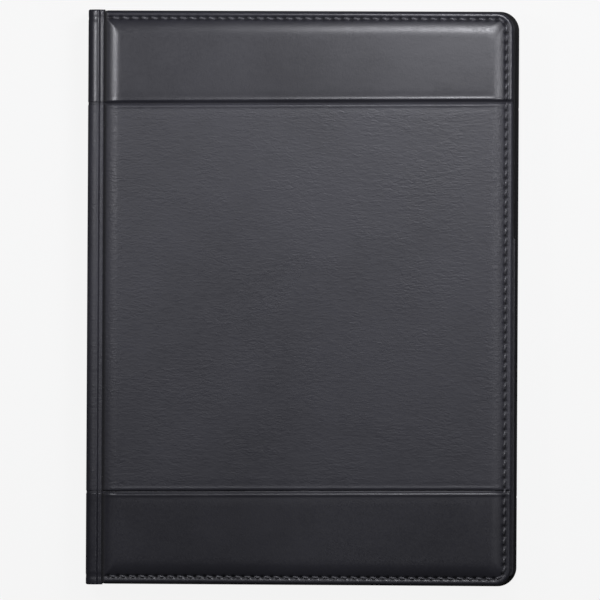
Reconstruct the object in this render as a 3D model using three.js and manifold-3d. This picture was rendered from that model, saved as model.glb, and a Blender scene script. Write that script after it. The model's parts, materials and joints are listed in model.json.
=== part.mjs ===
// Padfolio: a padded folder that lies closed on its back cover, with a writing pad inside.
// Millimetres. +X runs from the spine to the fore edge, +Y to the head, +Z out of the front cover.
import * as THREE from 'three';
import { mergeVertices } from 'three/addons/utils/BufferGeometryUtils.js';
import Module from 'manifold-3d';

// Writing pad, letter size
const padWidth = 215.9;
const padLength = 279.4;
const backingThickness = 0.9;
const sheetsThickness = 6;
const topSheetThickness = 0.2;
const padBindingWidth = 18;
const padBindingThickness = 0.25;
const backingLift = 0.1;
const padHeadMargin = 28.6;
const slotClearance = 0.3;

// Retaining panel that the pad's backing slides under
const panelThickness = 0.7;
const panelReach = 192;
const panelForeInset = 1.5;
const panelTailInset = 5.5;
const hemWidth = 3.2;
const hemThickness = 1.8;
const mouthBindingWidth = 6;
const mouthBindingThickness = 0.3;
const hemCornerGap = 6.5;

// Layers of the covers, from the outside in
const skinThickness = 0.9;
const frontFoamThickness = 2.6;
const backFoamThickness = 1.2;
const boardThickness = 2;
const turnInThickness = 0.8;
const turnInWidth = 14;
const liningThickness = 0.5;
const softGap = 0.3;
const boardInset = 1.1;
const liningInset = 2.2;

// Rim and padding of the covers
const rimEase = 0.1;
const rimWidth = 3.8;
const rimRound = 1.6;
const rimFall = 0.12;
const edgeRound = 0.5;
const stitchDip = 0.5;
const slopeWidth = 8.2;
const hingeRimWidth = 1.4;
const hingeSlopeWidth = 7.7;
const slopeSteps = 6;
const cornerSteps = 6;
const leastRadius = 3;
const windowRadius = 5;

// Outline of the covers
const backCornerRadius = 10.5;
const frontCornerRadius = 9;
const frontForeSetback = 2.7;
const frontHeadSetback = 1;

// Fold lines and spine
const foldRadius = 4.3;
const foldClearance = 0.3;
const rollEndAngle = 20;
const rollSteps = 10;
const spineOverhang = 0.8;
const spineBoardThickness = 1.6;
const spineLiningThickness = 0.5;
const spineBoardMargin = 1;

// Seams between the bands and the centre panel
const bandLength = 50;
const seamRise = 1.8;
const channelWidth = 3;
const frontChannelDepth = 1.3;
const backChannelDepth = 0.7;
const ribbonInset = 0.35;
const ribbonThickness = 0.5;
const ribbonCorner = 0.2;

// Pockets inside the front cover
const documentPocketThickness = 0.6;
const documentPocketReach = 214;
const pocketForeInset = 4.3;
const pocketHingeInset = 6;
const pocketCornerRadius = 6;
const cardPocketThickness = 0.5;
const cardPocketWidth = 100;
const cardPocketHeight = 58;
const cardPocketStep = 22;
const cardPocketFromTail = 30;
const cardPocketFromFore = 22;
const padTopClearance = 1.4;

// Pen loop
const penBoreWidth = 9;
const penBoreHeight = 9;
const penBoreRadius = 3.6;
const strapThickness = 0.9;
const strapWidth = 24;
const loopFromMiddle = 90;
const loopToPad = 2.3;
const loopToLining = 0.5;

// Worked out from the sizes above
const loopWidth = penBoreWidth + 2 * strapThickness;
const loopHeight = penBoreHeight + 2 * strapThickness;
const spineWall = skinThickness + spineBoardThickness + spineLiningThickness;
const gutterWidth = spineWall + loopWidth + loopToPad;
const padForeMargin = panelForeInset + hemWidth + slotClearance;
const padTailMargin = panelTailInset + hemWidth + slotClearance;
const coverWidth = gutterWidth + padWidth + padForeMargin;
const coverHeight = padHeadMargin + padLength + padTailMargin;
const halfWidth = coverWidth / 2;
const halfHeight = coverHeight / 2;
const frontCoverThickness = turnInThickness + boardThickness + frontFoamThickness + skinThickness;
const backCoverThickness = turnInThickness + boardThickness + backFoamThickness + skinThickness;
const pocketStack = documentPocketThickness + 2 * cardPocketThickness;
const padStack = hemThickness + panelThickness + softGap + sheetsThickness + topSheetThickness;
const padRoom = padStack + padTopClearance + pocketStack;
const innerRoom = Math.max(padRoom, loopHeight + 2 * loopToLining);
const backLiningTop = backCoverThickness + liningThickness;
const frontLiningBottom = backLiningTop + innerRoom;
const frontInnerFace = frontLiningBottom + liningThickness;
const closedThickness = frontInnerFace + frontCoverThickness;
const spineFace = -halfWidth;
const foldAxisX = spineFace + foldRadius;
const lowerFoldZ = foldRadius;
const upperFoldZ = closedThickness - foldRadius;
const hingeEdge = foldAxisX + foldRadius + foldClearance;
const seamFromMiddle = halfHeight - frontHeadSetback - bandLength;
const seamSlope = seamRise / coverWidth;
const beyond = halfWidth / 6;
const halfRounded = 1 - Math.SQRT1_2;

// Finishes
const finish = (color, roughness) => new THREE.MeshStandardMaterial({ color, roughness, metalness: 0 });
const smoothSkin = () => finish(0x2a2a2f, 0.42);
const grainedSkin = () => finish(0x2c2c30, 0.5);
const ribbonSkin = () => finish(0x232327, 0.45);
const foam = () => finish(0x55555a, 0.95);
const board = () => finish(0x8a7f6c, 0.9);
const liningCloth = () => finish(0x1d1d20, 0.85);
const pocketSkin = () => finish(0x26262a, 0.55);
const elastic = () => finish(0x161618, 0.8);
const paper = () => finish(0xf2efe4, 0.9);
const chipboard = () => finish(0xa08d70, 0.9);
const bindingTape = () => finish(0x1c2a44, 0.6);

const wasm = await Module();
wasm.setup();

function toSolid(geometry) {
  const bare = geometry.clone();
  bare.deleteAttribute('normal');
  bare.deleteAttribute('uv');
  const merged = mergeVertices(bare, 1e-4);
  const vertProperties = new Float32Array(merged.attributes.position.array);
  const triVerts = new Uint32Array(merged.index.array);
  return new wasm.Manifold(new wasm.Mesh({ numProp: 3, vertProperties, triVerts }));
}

function toGeometry(solid) {
  const mesh = solid.getMesh();
  const geometry = new THREE.BufferGeometry();
  geometry.setAttribute('position', new THREE.BufferAttribute(mesh.vertProperties, 3));
  geometry.setIndex(new THREE.BufferAttribute(mesh.triVerts, 1));
  geometry.computeVertexNormals();
  return geometry;
}

// A prism over an outline in X and Y, between two heights.
function prism(outline, low, high) {
  const shape = outline instanceof THREE.Shape ? outline : new THREE.Shape(outline);
  const options = { depth: high - low, bevelEnabled: false, curveSegments: cornerSteps };
  return new THREE.ExtrudeGeometry(shape, options).translate(0, 0, low);
}

// A prism over an outline in X and Z, between two places along Y.
function crossPrism(outline, start, end) {
  const geometry = prism(outline, -end, -start);
  return geometry.rotateX(Math.PI / 2);
}

// A prism over an outline in Y and Z, between two places along X.
function lengthPrism(outline, start, end) {
  const geometry = prism(outline, start, end);
  return geometry.applyMatrix4(new THREE.Matrix4().set(0, 0, 1, 0, 1, 0, 0, 0, 0, 1, 0, 0, 0, 0, 0, 1));
}

function box(x0, x1, y0, y1, z0, z1) {
  const geometry = new THREE.BoxGeometry(x1 - x0, y1 - y0, z1 - z0);
  return geometry.translate((x0 + x1) / 2, (y0 + y1) / 2, (z0 + z1) / 2);
}

// A sheet's outline: square at the hinge side, round at the two fore corners.
function sheetOutline(x0, x1, y0, y1, radius) {
  const shape = new THREE.Shape();
  shape.moveTo(x0, y0);
  shape.lineTo(x1 - radius, y0);
  shape.absarc(x1 - radius, y0 + radius, radius, -Math.PI / 2, 0, false);
  shape.lineTo(x1, y1 - radius);
  shape.absarc(x1 - radius, y1 - radius, radius, 0, Math.PI / 2, false);
  shape.lineTo(x0, y1);
  shape.closePath();
  return shape;
}

// A cover is measured in its own frame: height 0 on its inner face, growing outwards.
// seamShift sets its seams against the spine's, which they run on from.
function coverSizes(thickness, channelDepth, seamShift, foreX, halfY, radius) {
  const boardTop = turnInThickness + boardThickness;
  const rimTop = boardTop + rimEase + skinThickness + stitchDip;
  return { thickness, channelDepth, seamShift, foreX, halfY, radius, boardTop, rimTop };
}

// Profiles are points with x the inset from the cover's edge and y the height.
// The padding's slope, from the stitch line to the crest, drawn in by a distance.
function slopeProfile(cover, rim, slope, distance) {
  const valley = cover.rimTop - stitchDip;
  const rise = cover.thickness - valley;
  const points = [];
  for (let i = 0; i <= slopeSteps; i += 1) {
    const share = i / slopeSteps;
    const steepness = (rise * 6 * share * (1 - share)) / slope;
    const length = Math.hypot(1, steepness);
    const x = Math.max(rim, distance) + slope * share + (distance * steepness) / length;
    const y = valley + rise * share * share * (3 - 2 * share) - distance / length;
    points.push(new THREE.Vector2(x, y));
  }
  return points;
}

// The turned edge and the rolled rim outside the stitch line.
function rimProfile(cover, rim) {
  const share = rim / rimWidth;
  const round = rimRound * share;
  return [
    new THREE.Vector2(edgeRound * share, 0),
    new THREE.Vector2(0, edgeRound),
    new THREE.Vector2(0, cover.rimTop - rimRound),
    new THREE.Vector2(round * halfRounded, cover.rimTop - rimRound * halfRounded),
    new THREE.Vector2(round, cover.rimTop),
    new THREE.Vector2((round + rim) / 2, cover.rimTop - rimFall),
  ];
}

// The plain wall of what lies inside the leatherette, under the rim.
function coreProfile(cover, distance, lowest) {
  const high = cover.rimTop - stitchDip - distance;
  return [new THREE.Vector2(distance, lowest), new THREE.Vector2(distance, high)];
}

// One ring of a cover's outline, inset on the sewn sides and at the hinge side.
function coverRing(cover, sewnInset, hingeInset, height) {
  const x0 = hingeEdge + hingeInset;
  const x1 = cover.foreX - sewnInset;
  const half = cover.halfY - sewnInset;
  const radius = Math.max(cover.radius - sewnInset, leastRadius);
  const ring = [new THREE.Vector3(x0, -half, height)];
  for (const corner of [-1, 1]) {
    for (let i = 0; i <= cornerSteps; i += 1) {
      const angle = (Math.PI / 2) * (i / cornerSteps + (corner - 1) / 2);
      const x = x1 - radius + radius * Math.cos(angle);
      const y = corner * (half - radius) + radius * Math.sin(angle);
      ring.push(new THREE.Vector3(x, y, height));
    }
  }
  ring.push(new THREE.Vector3(x0, half, height));
  return ring;
}

// A closed solid through rings that all have the same number of points, lowest first.
function loft(rings) {
  const size = rings[0].length;
  const positions = rings.flat().flatMap((point) => [point.x, point.y, point.z]);
  const index = [];
  for (let r = 0; r + 1 < rings.length; r += 1) {
    for (let i = 0; i < size; i += 1) {
      const a = r * size + i;
      const b = r * size + ((i + 1) % size);
      index.push(a, b, a + size, b, b + size, a + size);
    }
  }
  const top = (rings.length - 1) * size;
  for (let i = 1; i + 1 < size; i += 1) {
    index.push(0, i + 1, i);
    index.push(top, top + i, top + i + 1);
  }
  const geometry = new THREE.BufferGeometry();
  geometry.setAttribute('position', new THREE.Float32BufferAttribute(positions, 3));
  geometry.setIndex(index);
  return geometry;
}

function formFrom(cover, edges, distance) {
  const sewn = [...edges[0], ...slopeProfile(cover, rimWidth, slopeWidth, distance)];
  const hinge = [...edges[1], ...slopeProfile(cover, hingeRimWidth, hingeSlopeWidth, distance)];
  return toSolid(loft(sewn.map((point, i) => coverRing(cover, point.x, hinge[i].x, point.y))));
}

// The cover's whole padded form.
function outerForm(cover) {
  return formFrom(cover, [rimProfile(cover, rimWidth), rimProfile(cover, hingeRimWidth)], 0);
}

// The same form drawn in by a distance, from a lowest height upwards.
function innerForm(cover, distance, lowest) {
  const edge = coreProfile(cover, distance, lowest);
  return formFrom(cover, [edge, edge], distance);
}

// A stretch of a cover along its seams, which climb away from the spine in the cover's own frame.
function seamStrip(cover, lowY, highY) {
  const climb = (x) => (x - spineFace) * seamSlope + cover.seamShift;
  const [x0, x1] = [spineFace - beyond, halfWidth + beyond];
  const outline = [
    new THREE.Vector2(x0, lowY + climb(x0)),
    new THREE.Vector2(x1, lowY + climb(x1)),
    new THREE.Vector2(x1, highY + climb(x1)),
    new THREE.Vector2(x0, highY + climb(x0)),
  ];
  return toSolid(prism(outline, -beyond, beyond));
}

// The leatherette of a cover: a shell round its board and foam, turned in on the inner face.
function coverSkin(cover) {
  const outer = outerForm(cover);
  const core = innerForm(cover, skinThickness, turnInThickness);
  const window = prism(
    sheetOutline(
      hingeEdge - beyond,
      cover.foreX - turnInWidth,
      -cover.halfY + turnInWidth,
      cover.halfY - turnInWidth,
      windowRadius,
    ),
    -beyond,
    turnInThickness,
  );
  return outer.subtract(core).subtract(toSolid(window));
}

// Section of a seam ribbon, from the hinge side over the padding and round the fore edge to the turn-in.
function ribbonLine(cover, inset) {
  const top = cover.thickness - cover.channelDepth - inset + ribbonInset;
  const rim = cover.rimTop - inset - stitchDip / 2;
  const low = Math.min(rim, top);
  const left = hingeEdge + inset;
  const right = cover.foreX - inset;
  return [
    new THREE.Vector2(left, turnInThickness),
    new THREE.Vector2(left, low),
    new THREE.Vector2(hingeEdge + hingeRimWidth, low),
    new THREE.Vector2(hingeEdge + hingeRimWidth + hingeSlopeWidth, top),
    new THREE.Vector2(cover.foreX - rimWidth - slopeWidth, top),
    new THREE.Vector2(cover.foreX - rimWidth, low),
    new THREE.Vector2(right - ribbonCorner, low),
    new THREE.Vector2(right, low - ribbonCorner),
    new THREE.Vector2(right, inset - ribbonInset),
  ];
}

function seamRibbon(cover, middleY) {
  const outer = ribbonLine(cover, ribbonInset);
  const inner = ribbonLine(cover, ribbonInset + ribbonThickness);
  const tuckX = cover.foreX - turnInWidth;
  const tuck = [new THREE.Vector2(tuckX, 0), new THREE.Vector2(tuckX, ribbonThickness)];
  const band = toSolid(crossPrism([...outer, ...tuck, ...inner.reverse()], -halfHeight, halfHeight));
  const half = channelWidth / 2 - softGap;
  return band.intersect(seamStrip(cover, middleY - half, middleY + half));
}

function coverFoam(cover) {
  const full = innerForm(cover, skinThickness + softGap, turnInThickness);
  const x = [hingeEdge - beyond, cover.foreX + beyond];
  const aboveBoard = toSolid(box(...x, -halfHeight, halfHeight, cover.boardTop, cover.thickness));
  const under = ribbonLine(cover, ribbonInset + ribbonThickness + softGap);
  const roof = [new THREE.Vector2(x[1], under.at(-1).y), new THREE.Vector2(x[1], beyond)];
  const floor = [new THREE.Vector2(x[0], beyond), new THREE.Vector2(x[0], under[0].y)];
  const pressed = toSolid(crossPrism([...under, ...roof, ...floor], -halfHeight, halfHeight));
  const half = channelWidth / 2;
  let solid = full.intersect(aboveBoard);
  for (const side of [-1, 1]) {
    const middle = side * seamFromMiddle;
    solid = solid.subtract(pressed.intersect(seamStrip(cover, middle - half, middle + half)));
  }
  return solid;
}

function coverBoard(cover) {
  const halfY = cover.halfY - boardInset;
  const radius = cover.radius - boardInset;
  const outline = sheetOutline(hingeEdge + boardInset, cover.foreX - boardInset, -halfY, halfY, radius);
  return prism(outline, turnInThickness, cover.boardTop);
}

// The lining covers the turn-ins and fills the window between them down to the board.
function coverLining(cover) {
  const x0 = hingeEdge + softGap;
  const halfY = cover.halfY - liningInset;
  const sheet = sheetOutline(x0, cover.foreX - liningInset, -halfY, halfY, cover.radius - liningInset);
  const windowHalf = cover.halfY - turnInWidth - softGap;
  const windowFore = cover.foreX - turnInWidth - softGap;
  const fill = sheetOutline(x0, windowFore, -windowHalf, windowHalf, windowRadius);
  return toSolid(prism(sheet, -liningThickness, 0)).add(toSolid(prism(fill, -liningThickness, turnInThickness)));
}

// The back cover is a cover turned over about the X axis, so that its padding faces down.
const turnedOver = new THREE.Matrix4().makeScale(1, -1, -1);

function addPiece(group, name, geometry, material) {
  const mesh = new THREE.Mesh(geometry, material);
  mesh.name = name;
  group.add(mesh);
}

// The layers that both covers share: three parts of the skin, two ribbons, foam, board and lining.
function addCover(group, side, cover, turned) {
  const place = (geometry) => (turned ? geometry.applyMatrix4(turnedOver) : geometry);
  const add = (name, solid, material) => {
    const geometry = solid instanceof THREE.BufferGeometry ? solid : toGeometry(solid);
    addPiece(group, `${side}_${name}`, place(geometry), material);
  };
  const skin = coverSkin(cover);
  const near = seamFromMiddle - channelWidth / 2;
  const far = seamFromMiddle + channelWidth / 2;
  const [high, low] = turned ? ['bottom', 'top'] : ['top', 'bottom'];
  const [upper, lower] = turned ? ['lower', 'upper'] : ['upper', 'lower'];
  add('centre_panel', skin.intersect(seamStrip(cover, -near, near)), grainedSkin());
  add(`${high}_band`, skin.intersect(seamStrip(cover, far, halfHeight + beyond)), smoothSkin());
  add(`${low}_band`, skin.intersect(seamStrip(cover, -halfHeight - beyond, -far)), smoothSkin());
  add(`${upper}_seam_ribbon`, seamRibbon(cover, seamFromMiddle), ribbonSkin());
  add(`${lower}_seam_ribbon`, seamRibbon(cover, -seamFromMiddle), ribbonSkin());
  add('foam', coverFoam(cover), foam());
  add('board', coverBoard(cover), board());
  add('lining', coverLining(cover), liningCloth());
}

// The document pocket and the card pockets, on the front cover's lining, in the cover's own frame.
function addPockets(group, cover) {
  const x0 = hingeEdge + pocketHingeInset;
  const x1 = cover.foreX - pocketForeInset;
  const y0 = -cover.halfY + pocketForeInset;
  const y1 = y0 + documentPocketReach;
  const seat = -liningThickness;
  const face = seat - documentPocketThickness;
  const pocket = new THREE.Shape();
  pocket.moveTo(x0, y0);
  pocket.lineTo(x1 - pocketCornerRadius, y0);
  pocket.absarc(x1 - pocketCornerRadius, y0 + pocketCornerRadius, pocketCornerRadius, -Math.PI / 2, 0, false);
  pocket.lineTo(x1, y1);
  pocket.lineTo(x0, y1);
  pocket.closePath();
  addPiece(group, 'document_pocket', prism(pocket, face, seat), pocketSkin());
  const binding = box(x0, x1, y1 - mouthBindingWidth, y1, face - mouthBindingThickness, face);
  addPiece(group, 'document_pocket_binding', binding, pocketSkin());
  const cardX = x1 - cardPocketFromFore;
  ['upper', 'lower'].forEach((which, layer) => {
    const top = face - layer * cardPocketThickness;
    const low = y0 + cardPocketFromTail;
    const high = low + cardPocketHeight + (1 - layer) * cardPocketStep;
    const pocketBox = box(cardX - cardPocketWidth, cardX, low, high, top - cardPocketThickness, top);
    addPiece(group, `${which}_card_pocket`, pocketBox, pocketSkin());
  });
}

// Outer or inner line of the spine's leather: a straight back with a roll round each fold axis.
function rollLine(radius) {
  const points = [];
  const end = THREE.MathUtils.degToRad(rollEndAngle);
  for (let i = 0; i <= rollSteps; i += 1) {
    const angle = -end - (Math.PI - end) * (i / rollSteps);
    points.push(new THREE.Vector2(foldAxisX + radius * Math.cos(angle), lowerFoldZ + radius * Math.sin(angle)));
  }
  for (let i = 0; i <= rollSteps; i += 1) {
    const angle = Math.PI - (Math.PI - end) * (i / rollSteps);
    points.push(new THREE.Vector2(foldAxisX + radius * Math.cos(angle), upperFoldZ + radius * Math.sin(angle)));
  }
  return points;
}

function spineStrip(inset, thickness, start, end) {
  const outer = rollLine(foldRadius - inset);
  const inner = rollLine(foldRadius - inset - thickness);
  return crossPrism([...outer, ...inner.reverse()], start, end);
}

// A rounded rectangle in X and Z about a middle point.
function roundedRing(x, z, width, height, radius) {
  const points = [];
  for (let corner = 0; corner < 4; corner += 1) {
    const toRight = corner === 0 || corner === 3 ? 1 : -1;
    const upwards = corner < 2 ? 1 : -1;
    for (let i = 0; i <= cornerSteps; i += 1) {
      const angle = (Math.PI / 2) * (corner + i / cornerSteps);
      const cornerX = x + toRight * (width / 2 - radius);
      const cornerZ = z + upwards * (height / 2 - radius);
      points.push(new THREE.Vector2(cornerX + radius * Math.cos(angle), cornerZ + radius * Math.sin(angle)));
    }
  }
  return points;
}

function penLoop() {
  const x = spineFace + spineWall + loopWidth / 2;
  const z = (backLiningTop + frontLiningBottom) / 2;
  const shape = new THREE.Shape(roundedRing(x, z, loopWidth, loopHeight, penBoreRadius + strapThickness));
  shape.holes.push(new THREE.Path(roundedRing(x, z, penBoreWidth, penBoreHeight, penBoreRadius)));
  return crossPrism(shape, loopFromMiddle - strapWidth / 2, loopFromMiddle + strapWidth / 2);
}

function addSpine(group) {
  const near = seamFromMiddle - channelWidth / 2 - seamRise / 2;
  const far = near + channelWidth;
  const end = halfHeight + spineOverhang;
  const middle = (near + far) / 2;
  const ribbonHalf = channelWidth / 2 - softGap;
  addPiece(group, 'spine_centre_panel', spineStrip(0, skinThickness, -near - seamRise, near), grainedSkin());
  addPiece(group, 'spine_top_band', spineStrip(0, skinThickness, far, end), smoothSkin());
  addPiece(group, 'spine_bottom_band', spineStrip(0, skinThickness, -end, -far - seamRise), smoothSkin());
  const ribbon = (y) => spineStrip(ribbonInset, ribbonThickness, y - ribbonHalf, y + ribbonHalf);
  addPiece(group, 'spine_upper_seam_ribbon', ribbon(middle), ribbonSkin());
  addPiece(group, 'spine_lower_seam_ribbon', ribbon(-middle - seamRise), ribbonSkin());
  const boardX = spineFace + skinThickness;
  const liningX = boardX + spineBoardThickness;
  const [low, high] = [lowerFoldZ + spineBoardMargin, upperFoldZ - spineBoardMargin];
  const boardEnd = halfHeight - boardInset;
  const spineBoard = box(boardX, liningX, -boardEnd, boardEnd, low, high);
  addPiece(group, 'spine_board', spineBoard, board());
  const spineLining = box(liningX, liningX + spineLiningThickness, -boardEnd, boardEnd, low, high);
  addPiece(group, 'spine_lining', spineLining, liningCloth());
  addPiece(group, 'pen_loop', penLoop(), elastic());
}

const padLeft = spineFace + gutterWidth;
const padRight = padLeft + padWidth;
const padTail = -halfHeight + padTailMargin;
const padHead = padTail + padLength;
const panelMouth = -halfHeight + panelReach;
const panelBottomZ = backLiningTop + hemThickness;
const panelTopZ = panelBottomZ + panelThickness;

// The panel that holds the pad's backing, on its three hems.
function addPadPanel(group) {
  const x0 = padLeft - slotClearance - hemWidth;
  const x1 = padRight + slotClearance + hemWidth;
  const y0 = -halfHeight + panelTailInset;
  const hem = (name, ...sides) => {
    addPiece(group, `pad_panel_${name}_hem`, box(...sides, backLiningTop, panelBottomZ), pocketSkin());
  };
  hem('left', x0, x0 + hemWidth, y0 + hemWidth, panelMouth);
  hem('right', x1 - hemWidth, x1, y0 + hemCornerGap, panelMouth);
  hem('bottom', x0, x1 - hemCornerGap, y0, y0 + hemWidth);
  const panel = new THREE.Shape();
  panel.moveTo(x0, y0);
  panel.lineTo(x1 - pocketCornerRadius, y0);
  panel.absarc(x1 - pocketCornerRadius, y0 + pocketCornerRadius, pocketCornerRadius, -Math.PI / 2, 0, false);
  panel.lineTo(x1, panelMouth);
  panel.lineTo(x0, panelMouth);
  panel.closePath();
  addPiece(group, 'pad_panel', prism(panel, panelBottomZ, panelTopZ), pocketSkin());
  const bindingZ = [panelBottomZ - mouthBindingThickness, panelBottomZ];
  const bindingX = [padLeft, padRight];
  const binding = box(...bindingX, panelMouth - mouthBindingWidth, panelMouth, ...bindingZ);
  addPiece(group, 'pad_panel_binding', binding, pocketSkin());
}

const backingZ = backLiningTop + padBindingThickness + backingLift;
const backingTopZ = backingZ + backingThickness;
const rampLength = 8;
const rampStart = panelMouth + softGap;

// A layer of the pad's paper: level over the panel, then down a ramp onto the backing beyond the mouth.
function paperLayer(bottom, thickness) {
  const overPanel = panelTopZ + softGap + bottom;
  const onBacking = backingTopZ + bottom;
  const rampEnd = rampStart + rampLength;
  const outline = [
    new THREE.Vector2(padTail, overPanel),
    new THREE.Vector2(rampStart, overPanel),
    new THREE.Vector2(rampEnd, onBacking),
    new THREE.Vector2(padHead, onBacking),
    new THREE.Vector2(padHead, onBacking + thickness),
    new THREE.Vector2(rampEnd, onBacking + thickness),
    new THREE.Vector2(rampStart, overPanel + thickness),
    new THREE.Vector2(padTail, overPanel + thickness),
  ];
  return lengthPrism(outline, padLeft, padRight);
}

function padBinding() {
  const top = backingTopZ + sheetsThickness + topSheetThickness;
  const inner = padHead - padBindingWidth;
  const outer = padHead + padBindingThickness;
  const outline = [
    new THREE.Vector2(inner, backingZ - padBindingThickness),
    new THREE.Vector2(outer, backingZ - padBindingThickness),
    new THREE.Vector2(outer, top + padBindingThickness),
    new THREE.Vector2(inner, top + padBindingThickness),
    new THREE.Vector2(inner, top),
    new THREE.Vector2(padHead, top),
    new THREE.Vector2(padHead, backingZ),
    new THREE.Vector2(inner, backingZ),
  ];
  return lengthPrism(outline, padLeft, padRight);
}

function addWritingPad(group) {
  const backing = box(padLeft, padRight, padTail, padHead, backingZ, backingTopZ);
  addPiece(group, 'pad_backing', backing, chipboard());
  addPiece(group, 'pad_sheets', paperLayer(0, sheetsThickness), paper());
  addPiece(group, 'pad_top_sheet', paperLayer(sheetsThickness, topSheetThickness), paper());
  addPiece(group, 'pad_binding', padBinding(), bindingTape());
}

const padfolio = new THREE.Group();

const backCover = new THREE.Group();
backCover.position.z = backCoverThickness;
const backForm = coverSizes(
  backCoverThickness,
  backChannelDepth,
  seamRise / 2,
  halfWidth,
  halfHeight,
  backCornerRadius,
);
addCover(backCover, 'back', backForm, true);
padfolio.add(backCover);

const frontCover = new THREE.Group();
frontCover.position.z = frontInnerFace;
const frontForm = coverSizes(
  frontCoverThickness,
  frontChannelDepth,
  -seamRise / 2,
  halfWidth - frontForeSetback,
  halfHeight - frontHeadSetback,
  frontCornerRadius,
);
addCover(frontCover, 'front', frontForm, false);
addPockets(frontCover, frontForm);
padfolio.add(frontCover);

const inside = new THREE.Group();
addPadPanel(inside);
addWritingPad(inside);
addSpine(inside);
padfolio.add(inside);

export default padfolio;
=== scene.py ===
"""Dresses the padfolio: padded leatherette covers, folding spine, stitching, lined inside and writing pad."""

import functools
import json
import math

import bmesh
import bpy
import numpy as np
from mathutils import Euler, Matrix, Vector


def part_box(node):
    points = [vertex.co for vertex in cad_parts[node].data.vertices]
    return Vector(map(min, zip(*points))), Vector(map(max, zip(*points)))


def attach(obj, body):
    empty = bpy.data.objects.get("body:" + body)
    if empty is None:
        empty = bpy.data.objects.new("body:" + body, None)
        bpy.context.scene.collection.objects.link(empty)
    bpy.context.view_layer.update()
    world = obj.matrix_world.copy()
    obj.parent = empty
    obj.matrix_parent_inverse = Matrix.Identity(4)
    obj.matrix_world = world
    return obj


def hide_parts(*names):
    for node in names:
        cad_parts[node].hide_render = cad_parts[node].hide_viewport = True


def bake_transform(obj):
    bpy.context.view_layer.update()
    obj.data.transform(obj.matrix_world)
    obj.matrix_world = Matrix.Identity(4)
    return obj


bl_info = {
    "name": "Padfolio dressing",
    "version": (1, 0, 0),
    "blender": (4, 5, 0),
    "location": "3D View > Sidebar > Padfolio",
    "description": "Builds the leather, stitching, lining and paper of a padded writing folder",
    "category": "Add Mesh",
}

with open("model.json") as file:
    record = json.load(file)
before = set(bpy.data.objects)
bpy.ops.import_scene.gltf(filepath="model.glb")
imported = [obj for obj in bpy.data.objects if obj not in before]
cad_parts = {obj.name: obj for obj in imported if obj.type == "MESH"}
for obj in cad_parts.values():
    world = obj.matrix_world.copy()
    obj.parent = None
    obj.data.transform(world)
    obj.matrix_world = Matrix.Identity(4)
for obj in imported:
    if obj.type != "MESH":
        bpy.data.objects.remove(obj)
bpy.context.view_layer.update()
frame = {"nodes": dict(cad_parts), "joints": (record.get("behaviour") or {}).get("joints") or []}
MM = 0.001


def span(node):
    """Lowest and highest corner of a CAD node, in millimetres."""
    low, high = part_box(node)
    return np.array(low) / MM, np.array(high) / MM


# Constants, in millimetres

JOINTS = {joint["name"]: joint for joint in frame["joints"]}
LOWER_FOLD = np.array(JOINTS["spine_fold"]["pos_m"]) / MM
UPPER_FOLD = np.array(JOINTS["cover_fold"]["pos_m"]) / MM
FOLD_RADIUS = LOWER_FOLD[2]
SPINE_FACE = span("spine_centre_panel")[0][0]
SPINE_SHORTFALL = 0.9
SPINE_END = span("spine_top_band")[1][1] - SPINE_SHORTFALL
HINGE_SLACK = 0.4
GROOVE_X = span("front_centre_panel")[0][0] + HINGE_SLACK
BEAD_TOP = 1.2
SEAM_RISE = 1.8
SEAM_CLIMB = SEAM_RISE / (span("back_centre_panel")[1][0] - SPINE_FACE)
SEAM_START = -0.4
RIBBON_LAP = 0.25

# Heights over a cover's inner face
UNDERSIDE = 2.9
GROOVE_HEIGHT = 3.5
RIM_HEIGHT = 4.3
VALLEY_HEIGHT = RIM_HEIGHT - 0.42

EDGE_ROLL = 1.6
TURN_IN = 14.0
TURN_IN_THICKNESS = 0.8
TURN_IN_RADIUS = 5.0
HEM_REACH = 10.0
HEM_LINE = 4.9
HEM_THICKNESS = 2.4
CLOTH_HALF = 0.25

FINE_PITCH = 3.4
FINE_GAUGE = 0.5

RULE_PITCH = 8.7
RULE_HEAD = 46.0
MARGIN_LINES = (31.0, 32.8)

# Widths of the fine zones at the hinge and the rim, and grid lines in from a rim and a seam's lip
HINGE_ZONE = 12.0
RIM_ZONE = 15.3
RIM_PLACES = [0, 0.06, 0.2, 0.45, 0.8, 1.2, EDGE_ROLL, *np.arange(1.9, RIM_ZONE, 0.33)]
LIP_PLACES = [0, 0.05, 0.16, 0.34, 0.56, 0.8, 1.05, 1.4, 1.8, 2.3, 3.0, 3.9]

# A cover's wall, its turned edge and its turn-in, as distances in from the edge and heights
EDGE_PROFILE = (
    (0.0, 1.9), (0.02, 1.1), (0.0, 0.55), (0.08, 0.25), (0.27, 0.07), (0.55, 0.0), (2.0, 0.0),
    (TURN_IN - 0.3, 0.0), (TURN_IN, 0.15), (TURN_IN, TURN_IN_THICKNESS - 0.1),
    (TURN_IN - 0.3, TURN_IN_THICKNESS), (EDGE_ROLL, TURN_IN_THICKNESS), (0.95, TURN_IN_THICKNESS + 0.3),
    (0.92, 2.0), (0.92, UNDERSIDE),
)
# A seam ribbon's way over the fore edge
RIBBON_TAIL = (
    (0.5, RIM_HEIGHT - 0.75), (0.2, RIM_HEIGHT - 1.3), (0.12, 2.0), (0.12, 0.8), (0.35, 0.3), (1.1, 0.12),
    (8.0, 0.12),
)
# The fold's leather from the bead down into the groove, as places and shares of the drop
FOLD_TAIL = ((1.6, 0.02), (2.05, 0.17), (2.35, 0.4), (2.7, 0.53), (3.15, 0.54), (3.6, 0.51), (4.15, 0.55))

STRIPS = {1: "top_band", 0: "centre_panel", -1: "bottom_band"}
SEAMS = {1: "upper", -1: "lower"}


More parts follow.
